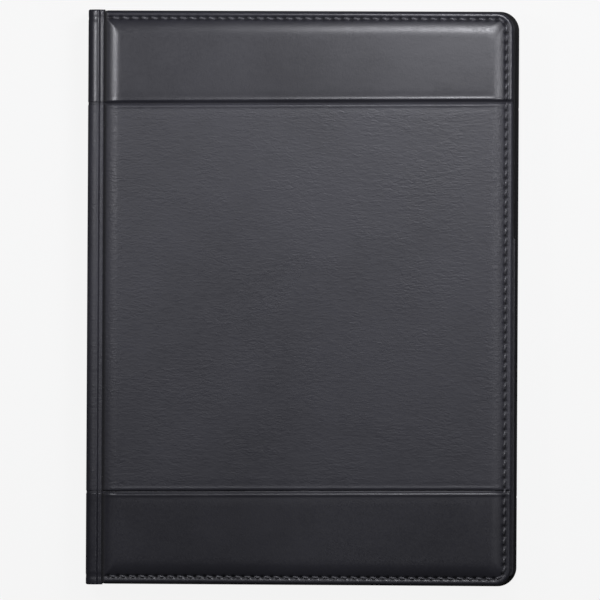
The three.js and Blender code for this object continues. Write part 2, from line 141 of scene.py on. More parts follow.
class PadfolioSizes(bpy.types.PropertyGroup):
    """Sizes of the dressing that can be changed without touching the frame."""

    seam_middle: bpy.props.FloatProperty(
        name="Seam from middle", description="Distance of both seams from the middle of the cover",
        default=0.107, subtype="DISTANCE", unit="LENGTH")
    channel_width: bpy.props.FloatProperty(
        name="Seam channel", description="Width of the channel between the bands and the centre panel",
        default=0.0011, subtype="DISTANCE", unit="LENGTH")
    skin: bpy.props.FloatProperty(
        name="Leather thickness", description="Thickness of the leatherette",
        default=0.0009, subtype="DISTANCE", unit="LENGTH")
    stitch_inset: bpy.props.FloatProperty(
        name="Stitch line", description="Distance of the stitch line from the sewn edges",
        default=0.0037, subtype="DISTANCE", unit="LENGTH")
    stitch_pitch: bpy.props.FloatProperty(
        name="Stitch pitch", description="Distance from one needle hole to the next",
        default=0.0053, subtype="DISTANCE", unit="LENGTH")
    thread_gauge: bpy.props.FloatProperty(
        name="Thread", description="Thickness of the sewing thread",
        default=0.0011, subtype="DISTANCE", unit="LENGTH")
    pillow_width: bpy.props.FloatProperty(
        name="Padding slope", description="Width of the padding's rise from the stitch line to its crest",
        default=0.0105, subtype="DISTANCE", unit="LENGTH")


class PadfolioColours(bpy.types.PropertyGroup):
    """Colours of the finishes."""

    leather: bpy.props.FloatVectorProperty(
        name="Leather", description="Colour of the covers' leatherette",
        default=(0.020, 0.020, 0.0265), subtype="COLOR", size=3, min=0, max=1)
    thread: bpy.props.FloatVectorProperty(
        name="Thread", description="Colour of the sewing thread",
        default=(0.078, 0.078, 0.086), subtype="COLOR", size=3, min=0, max=1)
    lining: bpy.props.FloatVectorProperty(
        name="Lining", description="Colour of the woven lining",
        default=(0.013, 0.013, 0.015), subtype="COLOR", size=3, min=0, max=1)
    paper: bpy.props.FloatVectorProperty(
        name="Paper", description="Colour of the writing paper",
        default=(0.72, 0.70, 0.63), subtype="COLOR", size=3, min=0, max=1)
    floor: bpy.props.FloatVectorProperty(
        name="Floor", description="Colour of the studio floor",
        default=(0.913, 0.913, 0.913), subtype="COLOR", size=3, min=0, max=1)


def sizes():
    """The size settings in millimetres."""
    group = bpy.context.scene.padfolio_sizes
    return {key: getattr(group, key) / MM for key in PadfolioSizes.__annotations__}


def colour(key):
    """One colour setting with its alpha."""
    return (*getattr(bpy.context.scene.padfolio_colours, key), 1.0)


# Slopes and curves


def smoothstep(value):
    """Eases from 0 to 1 as the value goes from 0 to 1."""
    share = np.clip(value, 0, 1)
    return share * share * (3 - 2 * share)


def crowned(low, high, share, power):
    """Rises from low to high as the share goes from 0 to 1, steep at first and level at the end."""
    return low + (high - low) * (1 - (1 - np.clip(share, 0, 1)) ** power)


def bell(distance, spread):
    """Falls from 1 towards 0 on both sides of no distance."""
    return np.exp(-((distance / spread) ** 2))


def round_fall(place, radius):
    """How far an edge rounded to a radius has fallen, at a place in from it."""
    return radius - np.sqrt(np.maximum(radius**2 - (radius - np.clip(place, 0, radius)) ** 2, 0))


def soft_least(first, second, blend):
    """The lower of two heights, rounded where they cross."""
    share = np.clip(0.5 + 0.5 * (second - first) / blend, 0, 1)
    return second * (1 - share) + first * share - blend * share * (1 - share)


def steps(start, end, pitch):
    """Even places from start to end, about a pitch apart."""
    count = max(1, int(math.ceil(abs(end - start) / pitch)))
    return list(np.linspace(start, end, count + 1))


def arc(middle, radius, start, end, count, endpoint=True):
    """Points round a middle from one angle to another, in degrees; an oval has a pair of radii."""
    angles = np.radians(np.linspace(start, end, count, endpoint=endpoint))
    return np.stack([np.cos(angles), np.sin(angles)], -1) * radius + middle


def unit(vectors):
    """The vectors with a length of one."""
    return vectors / np.maximum(np.linalg.norm(vectors, axis=1), 1e-6)[:, None]


def normals(line):
    """Unit directions across a line in a plane, a quarter turn from its own direction."""
    run = unit(np.gradient(line, axis=0))
    return np.stack([-run[:, 1], run[:, 0]], -1)


def path_length(points):
    """Length of a polyline."""
    return float(np.linalg.norm(np.diff(np.asarray(points, float), axis=0), axis=1).sum())


def along(points, places):
    """Points on a polyline at the given distances from its start."""
    points = np.asarray(points, float)
    lengths = np.concatenate([[0], np.cumsum(np.linalg.norm(np.diff(points, axis=0), axis=1))])
    return np.stack([np.interp(places, lengths, points[:, i]) for i in range(points.shape[1])], -1)


def smooth_path(points, count):
    """A smooth curve through points, as count even points."""
    points = np.asarray(points, float)
    padded = np.vstack([2 * points[0] - points[1], points, 2 * points[-1] - points[-2]])
    fine = []
    for i in range(len(points) - 1):
        before, start, end, after = padded[i : i + 4]
        square = 2 * before - 5 * start + 4 * end - after
        cube = 3 * start - before - 3 * end + after
        for share in np.linspace(0, 1, 16, endpoint=False):
            bend = square * share**2 + cube * share**3
            fine.append(0.5 * (2 * start + (end - before) * share + bend))
    fine.append(points[-1])
    return along(fine, np.linspace(0, path_length(fine), count))


# Mesh making


def make_piece(name, points, faces, finish, crease=48.0):
    """A closed, smooth-shaded piece from points in millimetres, with its faces turned outwards."""
    mesh = bpy.data.meshes.new(name)
    mesh.from_pydata((np.asarray(points, float) * MM).tolist(), [], faces)
    work = bmesh.new()
    work.from_mesh(mesh)
    bmesh.ops.recalc_face_normals(work, faces=work.faces)
    work.to_mesh(mesh)
    work.free()
    mesh.shade_smooth()
    mesh.set_sharp_from_angle(angle=math.radians(crease))
    mesh.materials.append(material(finish))
    return link_object(name, mesh)


def link_object(name, data):
    """A new object in the scene."""
    thing = bpy.data.objects.new(name, data)
    bpy.context.scene.collection.objects.link(thing)
    return thing


def set_attribute(piece, name, values):
    """Stores one number per point, for a material to read."""
    layer = piece.data.attributes.new(name, "FLOAT", "POINT")
    layer.data.foreach_set("value", np.asarray(values, np.float32))


def grid_faces(rows, columns):
    """Quads between the points of a grid that is stored row by row."""
    corner = np.arange(rows - 1)[:, None] * columns + np.arange(columns - 1)[None, :]
    quads = np.stack([corner, corner + 1, corner + columns + 1, corner + columns], -1)
    return quads.reshape(-1, 4).tolist()


def tube_faces(rings, count, start=0):
    """Quads between closed rings of points that are stored one after the other."""
    faces = []
    for base in range(start, start + (rings - 1) * count, count):
        for i in range(count):
            j = (i + 1) % count
            faces.append((base + i, base + j, base + count + j, base + count + i))
    return faces


def closed_sweep(rings):
    """Points and faces of a tube through rings of points, with both ends closed."""
    count = len(rings[0])
    points = [point for ring in rings for point in ring]
    ends = [list(range(count)), list(range(len(points) - count, len(points)))]
    return points, tube_faces(len(rings), count) + ends


# Materials


class Nodes:
    """A node tree with short ways to add nodes. An input is a value or the socket it comes from."""

    def __init__(self, tree):
        self.tree = tree

    def add(self, kind, inputs=None, **settings):
        """Adds a node with its settings and its inputs."""
        node = self.tree.nodes.new(kind)
        for key, value in settings.items():
            setattr(node, key, value)
        for key, value in (inputs or {}).items():
            if isinstance(value, bpy.types.NodeSocket):
                self.tree.links.new(value, node.inputs[key])
            else:
                node.inputs[key].default_value = value
        return node

    def get(self, kind, inputs=None, **settings):
        """Adds a node and gives its first output."""
        return self.add(kind, inputs, **settings).outputs[0]

    def maths(self, operation, first, second=0.0):
        """One arithmetic step on two values."""
        return self.get("ShaderNodeMath", {0: first, 1: second}, operation=operation)

    def times(self, first, second):
        """One value multiplied by another."""
        return self.maths("MULTIPLY", first, second)

    def mixed(self, share, first, second):
        """A colour between two colours."""
        return self.add("ShaderNodeMix", {"Factor": share, 6: first, 7: second}, data_type="RGBA").outputs[2]

    def ramp(self, value, low, high, to_low=0.0, to_high=1.0):
        """Maps a value from one range to another, clamped and eased."""
        return self.get("ShaderNodeMapRange", {
            "Value": value, "From Min": low, "From Max": high, "To Min": to_low, "To Max": to_high},
            interpolation_type="SMOOTHSTEP")


class Finish(Nodes):
    """A material in the making, with its constants set on the shader's own sockets."""

    def __init__(self, name, **constants):
        self.material = bpy.data.materials.new(name)
        self.material.use_nodes = True
        super().__init__(self.material.node_tree)
        self.shader = self.tree.nodes["Principled BSDF"]
        for key, value in constants.items():
            self.shader.inputs[key.replace("_", " ")].default_value = value

    def drive(self, entry, value):
        """Links one of the shader's inputs."""
        self.tree.links.new(value, self.shader.inputs[entry])

    def placed(self, scale=(1, 1, 1), turn=(0, 0, 0)):
        """Object coordinates, stretched and turned."""
        place = self.add("ShaderNodeTexCoord").outputs["Object"]
        return self.get("ShaderNodeMapping", {"Vector": place, "Scale": scale, "Rotation": turn})

    def attribute(self, name):
        """A number stored on the piece's points."""
        return self.add("ShaderNodeAttribute", attribute_name=name).outputs["Fac"]

    def noise(self, scale, detail=2.0, roughness=0.5, distortion=0.0, stretch=(1, 1, 1)):
        """Noise in the object's space."""
        return self.get("ShaderNodeTexNoise", {
            "Vector": self.placed(stretch), "Scale": scale, "Detail": detail, "Roughness": roughness,
            "Distortion": distortion})

    def wave(self, direction, scale, distortion, detail=2.0, detail_scale=1.0, turn=(0, 0, 0)):
        """Bands across the object's space."""
        return self.add("ShaderNodeTexWave", {
            "Vector": self.placed(turn=turn), "Scale": scale, "Distortion": distortion, "Detail": detail,
            "Detail Scale": detail_scale}, wave_type="BANDS", bands_direction=direction).outputs["Fac"]

    def bump(self, *layers):
        """Stacks bump layers of (height, distance in mm, strength)."""
        normal = None
        for height, distance, strength in layers:
            inputs = {"Height": height, "Distance": distance * MM, "Strength": strength}
            if normal is not None:
                inputs["Normal"] = normal
            normal = self.get("ShaderNodeBump", inputs)
        self.drive("Normal", normal)


def shaded(base, factor):
    """A colour made lighter or darker."""
    return (*(min(1.0, channel * factor) for channel in base[:3]), 1.0)


def leather_colours(look, base):
    """Slow colour drift, worn pale edges and painted shade on walls, in the hinge groove and round needle
    holes; gives the drift and the polish.
    """
    drift = look.noise(22.0, 3.0)
    drifted = look.mixed(look.ramp(drift, 0.3, 0.7), shaded(base, 0.9), shaded(base, 1.12))
    patches = look.ramp(look.noise(260.0, 4.0), 0.35, 0.65, 0.25, 1.0)
    patchy = look.times(look.attribute("wear"), patches)
    worn = look.mixed(patchy, drifted, shaded(base, 2.1))
    # Painted shade: the stored share darkens the colour to near black and dulls the gloss on walls, the hinge
    # groove and needle holes
    painted_shade = look.attribute("painted_shade_mask")
    look.drive("Base Color", look.mixed(painted_shade, worn, shaded(base, 0.12)))
    return drift, look.maths("SUBTRACT", patchy, look.times(painted_shade, 8.0))


def leather_gloss(look, grain, drift, polish):
    """Roughness from the grain and the drift, lower where the leather is polished by wear."""
    gloss = look.maths("ADD", grain, drift)
    look.drive("Roughness", look.maths("SUBTRACT", gloss, look.times(polish, 0.08)))


def satin_leather(name, base, rough=0.33):
    """Smooth leatherette with fine pores."""
    look = Finish(name, IOR=1.58, Metallic=0.0)
    drift, polish = leather_colours(look, base)
    pores = look.get("ShaderNodeTexVoronoi", {"Vector": look.placed(), "Scale": 1500.0}, feature="SMOOTH_F1")
    fine = look.noise(900.0, 3.0, 0.6, stretch=(1, 0.7, 1))
    streaks = look.noise(160.0, stretch=(0.35, 1.0, 1.0))
    grain = look.ramp(fine, 0.3, 0.7, rough - 0.03, rough + 0.05)
    leather_gloss(look, grain, look.ramp(drift, 0.3, 0.7, 0.0, 0.04), polish)
    look.bump((streaks, 0.12, 0.35), (fine, 0.04, 0.5), (pores, 0.03, 0.5))
    return look.material


def crinkled_leather(name, base):
    """Leatherette with a crinkled grain of short cross ripples and leaf-like creases."""
    look = Finish(name, IOR=1.58, Metallic=0.0)
    drift, polish = leather_colours(look, base)
    flow = look.noise(60.0)
    ripples = look.noise(760.0, 2.5, 0.55, 0.6, stretch=(0.34, 1.0, 1.0))
    leaves = look.get("ShaderNodeTexVoronoi", {
        "Vector": look.placed((0.6, 1.0, 1.0), (0, 0, 0.5)), "Scale": 310.0}, feature="DISTANCE_TO_EDGE")
    creases = look.times(look.ramp(leaves, 0.0, 0.12), look.ramp(flow, 0.42, 0.6))
    swelling = look.times(ripples, look.ramp(flow, 0.3, 0.7, 0.6, 1.0))
    height = look.maths("ADD", swelling, look.times(creases, 0.13))
    pores = look.noise(2600.0, 2.0, 0.6)
    grain = look.ramp(ripples, 0.35, 0.65, 0.51, 0.42)
    leather_gloss(look, grain, look.ramp(drift, 0.3, 0.7, 0.0, 0.05), polish)
    look.bump((height, 0.32, 0.55), (pores, 0.04, 0.5))
    return look.material


def bonded_thread():
    """Bonded sewing thread with twisted strands."""
    look = Finish("bonded_thread", IOR=1.5, Sheen_Weight=0.2, Sheen_Roughness=0.4)
    base = colour("thread")
    strands = look.wave("X", 700.0, 1.0, turn=(0, 0, 0.7))
    look.drive("Base Color", look.mixed(strands, shaded(base, 0.7), shaded(base, 1.5)))
    look.drive("Roughness", look.ramp(strands, 0.0, 1.0, 0.42, 0.28))
    look.bump((strands, 0.1, 0.5))
    return look.material


def lining_cloth():
    """Plain-woven lining cloth: crossing threads with slubs."""
    look = Finish("lining_cloth", IOR=1.45, Sheen_Weight=0.25, Sheen_Roughness=0.5)
    base = colour("lining")
    wobble = look.noise(90.0)
    threads_per_metre, full_turn = 1700.0, 6.283
    scale = threads_per_metre / full_turn
    weft, warp = (look.wave(direction, scale, 0.35, 1.0, 3.0) for direction in "XY")
    gaps = look.times(look.maths("SUBTRACT", 1.0, weft), look.maths("SUBTRACT", 1.0, warp))
    weave = look.maths("MAXIMUM", look.times(weft, warp), gaps)
    slubs = look.noise(420.0, 3.0, 0.6, stretch=(0.15, 1.0, 1.0))
    lightness = look.times(weave, look.ramp(slubs, 0.35, 0.65, 0.6, 1.0))
    shade = look.mixed(lightness, shaded(base, 0.65), shaded(base, 1.7))
    look.drive("Base Color", look.mixed(look.ramp(wobble, 0.35, 0.7, 0.0, 0.25), shade, shaded(base, 1.9)))
    look.drive("Roughness", look.ramp(weave, 0.0, 1.0, 0.86, 0.70))
    look.bump((weave, 0.18, 0.7), (slubs, 0.08, 0.4))
    return look.material


def ribbed_elastic():
    """Knitted elastic: fine loops over the modelled ribs, with painted shade in the rib valleys and painted
    highlights on their crests.
    """
    look = Finish("ribbed_elastic", IOR=1.45, Sheen_Weight=0.3, Sheen_Roughness=0.45)
    base = shaded(colour("lining"), 0.95)
    loops = look.wave("DIAGONAL", 330.0, 2.0, turn=(0.4, 0.0, 0.3))
    # Painted shade and highlight: the rib attribute darkens the valleys and lightens the crests
    painted_rib_shading = look.ramp(look.attribute("rib"), 0.0, 1.0, 0.45, 1.0)
    shade = look.times(look.ramp(loops, 0.0, 1.0, 0.6, 1.0), painted_rib_shading)
    look.drive("Base Color", look.mixed(shade, shaded(base, 0.5), shaded(base, 2.2)))
    look.drive("Roughness", look.ramp(loops, 0.0, 1.0, 0.85, 0.65))
    look.bump((loops, 0.12, 0.6))
    return look.material


def plain_paper(name):
    """Uncoated paper with faint fibres; returns the finish, its fibres and its tone."""
    look = Finish(name, IOR=1.45, Roughness=0.82)
    base = colour("paper")
    fibres = look.noise(900.0, 3.0, 0.6, stretch=(0.4, 1.0, 1.0))
    return look, fibres, look.mixed(look.ramp(fibres, 0.3, 0.7), shaded(base, 0.97), shaded(base, 1.02))


def ruled_paper():
    """Paper printed with blue rules and a red double margin."""
    look, fibres, tone = plain_paper("ruled_paper")
    place = look.add("ShaderNodeSeparateXYZ", {"Vector": look.placed()}).outputs
    low, high = span("pad_top_sheet")
    below_head = look.maths("SUBTRACT", (high[1] - RULE_HEAD) * MM, place["Y"])
    rows = look.maths("DIVIDE", below_head, RULE_PITCH * MM)
    phase = look.maths("FRACT", rows)
    away = look.maths("MINIMUM", phase, look.maths("SUBTRACT", 1.0, phase))
    rules = look.times(look.ramp(away, 0.012, 0.03, 1.0, 0.0), look.ramp(rows, -0.1, -0.05))
    tone = look.mixed(look.times(rules, 0.75), tone, (0.20, 0.36, 0.58, 1.0))
    for line in MARGIN_LINES:
        away = look.maths("ABSOLUTE", look.maths("SUBTRACT", place["X"], (low[0] + line) * MM))
        margin = look.ramp(away, 0.00012, 0.0003, 1.0, 0.0)
        tone = look.mixed(look.times(margin, 0.7), tone, (0.62, 0.16, 0.18, 1.0))
    look.drive("Base Color", tone)
    look.bump((fibres, 0.02, 0.4))
    return look.material


def paper_edges():
    """Paper with the fine lines of a pile's edges, darkened as painted shade in the gaps between the sheets.
    """
    look, _fibres, tone = plain_paper("paper_edges")
    edges = look.noise(9000.0, 2.0, 0.7, stretch=(0.02, 0.02, 1.0))
    # Painted shade: dark lines in the gaps between the sheets
    share = look.ramp(edges, 0.42, 0.6, 0.0, 0.5)
    look.drive("Base Color", look.mixed(share, tone, shaded(colour("paper"), 0.62)))
    look.bump((edges, 0.06, 0.5))
    return look.material


def pulp_board(name, base, flecks):
    """Grey or brown board made of pulp, with fibres and flecks."""
    look = Finish(name, IOR=1.45, Roughness=0.9)
    pulp = look.noise(700.0, 4.0, 0.65, stretch=(1.0, 0.4, 1.0))
    specks = look.ramp(look.noise(1800.0, 1.0), 0.62, 0.7)
    tone = look.mixed(look.ramp(pulp, 0.3, 0.7), shaded(base, 0.85), shaded(base, 1.12))
    look.drive("Base Color", look.mixed(look.times(specks, flecks), tone, shaded(base, 0.45)))
    look.bump((pulp, 0.06, 0.6))
    return look.material


def binding_tape():
    """Cloth binding tape, glazed, with a fine weave."""
    look = Finish("binding_tape", IOR=1.48)
    base = (0.012, 0.018, 0.040, 1.0)
    weft, warp = (look.wave(direction, 420.0, 0.3) for direction in "XY")
    weave = look.times(weft, warp)
    look.drive("Base Color", look.mixed(weave, shaded(base, 0.8), shaded(base, 1.8)))
    look.drive("Roughness", look.ramp(weave, 0.0, 1.0, 0.6, 0.42))
    look.bump((weave, 0.06, 0.5))
    return look.material


@functools.cache
def material(key):
    """The finished material of that name, made when it is first asked for."""
    leather = colour("leather")
    makers = {
        "smooth_leather": lambda: satin_leather("smooth_leather", shaded(leather, 0.85)),
        "crinkled_leather": lambda: crinkled_leather("crinkled_leather", shaded(leather, 1.15)),
        "ribbon_leather": lambda: satin_leather("ribbon_leather", shaded(leather, 0.9), 0.5),
        "pocket_leather": lambda: satin_leather("pocket_leather", shaded(leather, 0.9), 0.46),
        "lining_cloth": lining_cloth,
        "elastic": ribbed_elastic,
        "ruled_paper": ruled_paper,
        "paper_edges": paper_edges,
        "greyboard": lambda: pulp_board("greyboard", (0.27, 0.24, 0.20, 1.0), 0.4),
        "chipboard": lambda: pulp_board("chipboard", (0.36, 0.27, 0.17, 1.0), 0.7),
        "tape": binding_tape,
        "thread": bonded_thread,
    }
    return makers[key]()


# Covers


class Cover:
    """One cover in its own frame: heights grow outwards from its inner face."""

    def __init__(self, side, up, radius, crest_radius, channel_depth):
        low, high = span(f"{side}_centre_panel")
        self.side = side
        self.body = f"{side}_cover"
        self.up = up
        self.radius = radius
        self.crest_radius = crest_radius
        self.channel_depth = channel_depth
        self.fore = high[0]
        self.half = span(f"{side}_top_band")[1][1]
        self.thickness = high[2] - low[2]
        self.inner = low[2] if up > 0 else high[2]
        self.fold = UPPER_FOLD if up > 0 else LOWER_FOLD

    def world(self, points):
        """Points given by X, Y and their height over the inner face, in the object's frame."""
        x, y, height = np.asarray(points, float).T
        return np.column_stack([x, y, self.inner + self.up * height])


def covers():
    """The front and the back cover."""
    return (Cover("front", up=1, radius=9.0, crest_radius=4.4, channel_depth=0.9),
            Cover("back", up=-1, radius=10.5, crest_radius=5.0, channel_depth=0.85))


def seam_y(side, x, up):
    """Middle of the upper (1) or lower (-1) seam at a place along the cover."""
    return side * sizes()["seam_middle"] + SEAM_START + up * (np.asarray(x) - SPINE_FACE) * SEAM_CLIMB


def sewn_inset(cover, x, y):
    """Distance in from the cover's sewn edges, round its fore corners."""
    from_fore = cover.fore - x
    from_side = cover.half - np.abs(y)
    radius, tight = cover.radius, cover.crest_radius
    plain = np.minimum(from_fore, from_side)
    round_off = radius - np.hypot(np.maximum(radius - from_fore, 0), np.maximum(radius - from_side, 0))
    near = np.where((from_fore < radius) & (from_side < radius), round_off, plain)
    apart = from_fore - from_side
    root = np.sqrt(np.maximum(2 * tight**2 - apart**2, 0))
    far = np.where(np.abs(apart) < tight, (from_fore + from_side + root) / 2 - tight, plain)
    return np.where(near > radius - tight, far, near)


def needle_holes(path, pitch):
    """Even needle holes along a path, about a pitch apart."""
    length = path_length(path)
    return along(path, np.linspace(0, length, int(round(length / pitch)) + 1))


def cover_stitches(cover):
    """A cover's stitch line, from the hinge round the fore corners and back, and its needle holes."""
    size = sizes()
    start_x = GROOVE_X + 3.2
    end_y = cover.half - size["stitch_inset"]
    middle_x, middle_y = cover.fore - cover.radius, cover.half - cover.radius
    radius = cover.radius - size["stitch_inset"]
    path = np.concatenate([
        [(start_x, end_y)], arc((middle_x, middle_y), radius, 90, 0, 25),
        arc((middle_x, -middle_y), radius, 0, -90, 25), [(start_x, -end_y)]])
    return path, needle_holes(path, size["stitch_pitch"])


def swell(x, y):
    """Slow unevenness of the padding, within a tenth of a millimetre."""
    return 0.035 * (np.sin(x / 17.3 + 1.1) * np.cos(y / 23.9) + np.sin(x / 41.0 - y / 33.0 + 0.7)
                    + 0.6 * np.sin(y / 12.7 + 0.4) * np.sin(x / 29.0))


def needle_dents(x, y, holes, reach=2.2, spread=0.58, join=np.maximum):
    """How near each place is to a needle hole, 1 at a hole; join says how holes near each other count."""
    nearness = np.zeros_like(x)
    for hole_x, hole_y in holes:
        near = (np.abs(x - hole_x) < reach) & (np.abs(y - hole_y) < reach)
        away = (x[near] - hole_x) ** 2 + (y[near] - hole_y) ** 2
        nearness[near] = join(nearness[near], np.exp(-away / (2 * spread**2)))
    return nearness


def hole_lines(holes, low, high):
    """Grid places from low to high: close together at each needle hole, wider between two holes."""
    reach, margin = 0.8, 0.2
    holes = sorted(holes)
    lines = [hole + offset for hole in holes for offset in (-reach, -0.4, 0, 0.4, reach)]
    for one, other in zip(holes, holes[1:]):
        third = (other - one - 2 * reach) / 3
        lines += [one + reach + third, other - reach - third]
    return sorted(place for place in lines if low + margin < place < high - margin)


def padding_height(cover, x, y, seam_gap, holes):
    """Height of the padded leather over the inner face, at a distance from the nearest seam."""
    size = sizes()
    line = size["stitch_inset"]
    pillow_power, hinge_power, hinge_slope, crossing = 2.5, 2.3, 10.0, 0.22
    inset = sewn_inset(cover, x, y)
    from_groove = x - GROOVE_X
    sunk = (RIM_HEIGHT - VALLEY_HEIGHT) * smoothstep((inset - EDGE_ROLL) / (line - EDGE_ROLL))
    rim = RIM_HEIGHT - round_fall(inset, EDGE_ROLL) - sunk
    pillow = crowned(VALLEY_HEIGHT, cover.thickness, (inset - line) / size["pillow_width"], pillow_power)
    hinge = crowned(GROOVE_HEIGHT, cover.thickness, from_groove / hinge_slope, hinge_power)
    height = soft_least(np.where(inset < line, rim, pillow), hinge, crossing)
    plateau = smoothstep((inset - 6) / 10) * smoothstep((from_groove - 3) / 10)
    height = height + swell(x, y) * plateau

    seam_sink, seam_sink_reach = 0.28, 7.5
    height = height - seam_sink * (1 - np.clip(seam_gap / seam_sink_reach, 0, 1)) ** 2 * plateau
    lip_rise, lip_place, lip_spread = 0.28, 1.35, 0.7
    height = height + lip_rise * bell(seam_gap - lip_place, lip_spread) * (0.35 + 0.65 * plateau)
    lip_roll = 0.85
    lip_depth = np.where(y < 0, 0.4, 0.7)
    room = np.maximum(height - UNDERSIDE - 0.3, 0)
    height = height - np.minimum(lip_depth * round_fall(seam_gap, lip_roll), room)

    needle_depth = 0.9
    height = height - needle_depth * needle_dents(x, y, holes)
    return np.where(inset > 1.3, np.maximum(height, UNDERSIDE + 0.22), height)


def cover_columns(cover, head_holes):
    """Places across the cover from the hinge groove to the fore edge, as shares of its width."""
    width = cover.fore - GROOVE_X
    if head_holes:
        slope = math.asin(1 - sizes()["stitch_inset"] / cover.radius)
        reach = width - cover.radius * (1 - math.cos(slope))
        spread = [(hole - GROOVE_X) * width / reach for hole in head_holes]
        plain = hole_lines(spread, HINGE_ZONE, width - RIM_ZONE)
    else:
        plain = steps(HINGE_ZONE, width - RIM_ZONE, 1.15)
    near_fore = [width - place for place in RIM_PLACES]
    return np.unique(np.round([*steps(0, HINGE_ZONE, 0.42), *plain, *near_fore], 5)) / width


def painted_wall_shade(height):
    """Painted shade on a cover's wall and turn-in, fading towards its rim."""
    return 1 - smoothstep((height - 0.6) / 2.2)


def cover_strip(cover, side, holes):
    """One strip of a cover: a band (1 or -1) or the centre panel (0). A bottom band is mirrored."""
    flip = side or 1
    holes = [(hole_x, flip * hole_y) for hole_x, hole_y in holes]
    half_channel = sizes()["channel_width"] / 2

    def low_edge(x):
        return flip * seam_y(side or -1, x, cover.up) + half_channel

    def high_edge(x):
        return cover.half + 0 * x if side else seam_y(1, x, cover.up) - half_channel

    line = sizes()["stitch_inset"]
    fore_holes = [hole_y for hole_x, hole_y in holes if abs(hole_x - cover.fore + line) < 0.3]
    head_holes = [hole_x for hole_x, hole_y in holes if side and abs(hole_y - cover.half + line) < 0.3]
    shares = cover_columns(cover, head_holes)
    low, top = float(low_edge(cover.fore)), float(high_edge(cover.fore))
    high = top - cover.radius if side else top
    turns = np.radians(np.arange(90, -0.1, -2.0)) if side else np.array([])
    near_low = [low + place for place in reversed(LIP_PLACES)]
    near_high = [high - place for place in (np.arange(0.4, 6.6, 0.4) if side else LIP_PLACES)]
    straight = [*near_high, *hole_lines(fore_holes, near_low[0], near_high[-1])[::-1], *near_low]
    ends = np.array([*(high + cover.radius * np.sin(turns)), *straight])
    reaches = np.full(ends.shape, cover.fore)
    reaches[: len(turns)] = cover.fore - cover.radius + cover.radius * np.cos(turns)

    x = GROOVE_X + (reaches[:, None] - GROOVE_X) * shares[None, :]
    y = high_edge(x) - ((top - ends) / (top - low))[:, None] * (high_edge(x) - low_edge(x))
    gap = y - low_edge(x)
    if not side:
        gap = np.minimum(high_edge(x) - y, gap)
    height = padding_height(cover, x, y, gap, holes)
    rows, columns = x.shape
    shown = rows * columns
    points = np.stack([x, y, height], -1).reshape(-1, 3).tolist()

    rim = [("fore", (ends[row] - low) / (high - low), row) for row in range(rows - 1, len(turns) - 1, -1)]
    rim += [("corner", turns[row], row) for row in range(len(turns) - 1, -1, -1)]
    loops = [[row * columns + columns - 1 for _kind, _share, row in rim]]
    if side:
        rim += [("head", shares[column], 0) for column in range(columns - 2, -1, -1)]
        loops[0] += range(columns - 2, -1, -1)

    def drawn_in(kind, share, inset):
        """Where a point of the rim lies once it is drawn in."""
        radius = max(cover.radius - inset, TURN_IN_RADIUS if inset > 4 else 0.5)
        x_end, y_end = cover.fore - inset, cover.half - inset
        if kind == "fore":
            first, last = float(low_edge(x_end)), y_end - radius if side else float(high_edge(x_end))
            return x_end, first + (last - first) * share
        if kind == "corner":
            return x_end - radius + radius * math.cos(share), y_end - radius + radius * math.sin(share)
        return GROOVE_X + (x_end - radius - GROOVE_X) * share, y_end

    faces = grid_faces(rows, columns)
    for inset, wall_height in EDGE_PROFILE:
        loops.append(range(len(points), len(points) + len(rim)))
        points += [(*drawn_in(kind, share, inset), wall_height) for kind, share, _row in rim]
    for upper, lower in zip(loops, loops[1:]):
        faces += [(upper[i], upper[i + 1], lower[i + 1], lower[i]) for i in range(len(rim) - 1)]
    close_strip(points, faces, rows, columns, loops[1:], bool(side))

    points = np.array(points)
    finish, _slot = leather_of(side)
    name = f"{cover.side}_leather_{STRIPS[side]}"
    piece = make_piece(name, cover.world(points * (1, flip, 1)), faces, finish)
    wear = 0.35 * bell(sewn_inset(cover, points[:, 0], points[:, 1]) - 0.9, 0.8)
    wear[shown:] = 0
    set_attribute(piece, "wear", wear)
    # Painted shade on the walls and turn-in, in the hinge groove and round each needle hole
    painted_groove_shade = 0.8 * (1 - smoothstep((points[:, 0] - GROOVE_X - 0.2) / 1.8))
    painted_shade = np.maximum(painted_wall_shade(points[:, 2]), painted_groove_shade)
    painted_shade[:shown] = np.maximum(painted_shade[:shown], needle_dents(x, y, holes).ravel() ** 1.5)
    set_attribute(piece, "painted_shade_mask", painted_shade)
    return piece


def close_strip(points, faces, rows, columns, loops, has_head):
    """Closes a cover strip at its seams, at the hinge and underneath."""

    def add_under(row):
        """Adds a point at the underside, below a row's hinge end."""
        x, y, _height = points[row * columns]
        points.append((x, y, UNDERSIDE))
        return len(points) - 1

    hinge = list(range(0, rows * columns, columns))
    low = add_under(rows - 1)
    faces.append([*range((rows - 1) * columns, rows * columns), *(loop[0] for loop in loops), low])
    if has_head:
        faces.append([*hinge, low, *(loop[-1] for loop in reversed(loops))])
        faces.append([*loops[-1], low])
    else:
        high = add_under(0)
        faces.append([*range(columns), *(loop[-1] for loop in loops), high])
        faces.append([*hinge, low, high])
        faces.append([*loops[-1], high, low])


def leather_of(which):
    """Finish and slot of the bands' and of the centre panel's leather."""
    return ("smooth_leather", "skin_smooth") if which else ("crinkled_leather", "skin_grained")


def ribbon_offsets(*shares):
    """Places across a seam ribbon, from one edge to the other, which lap under the leather."""
    half = sizes()["channel_width"] / 2 + RIBBON_LAP
    return np.array([*(-share for share in reversed(shares)), 0, *shares]) * half


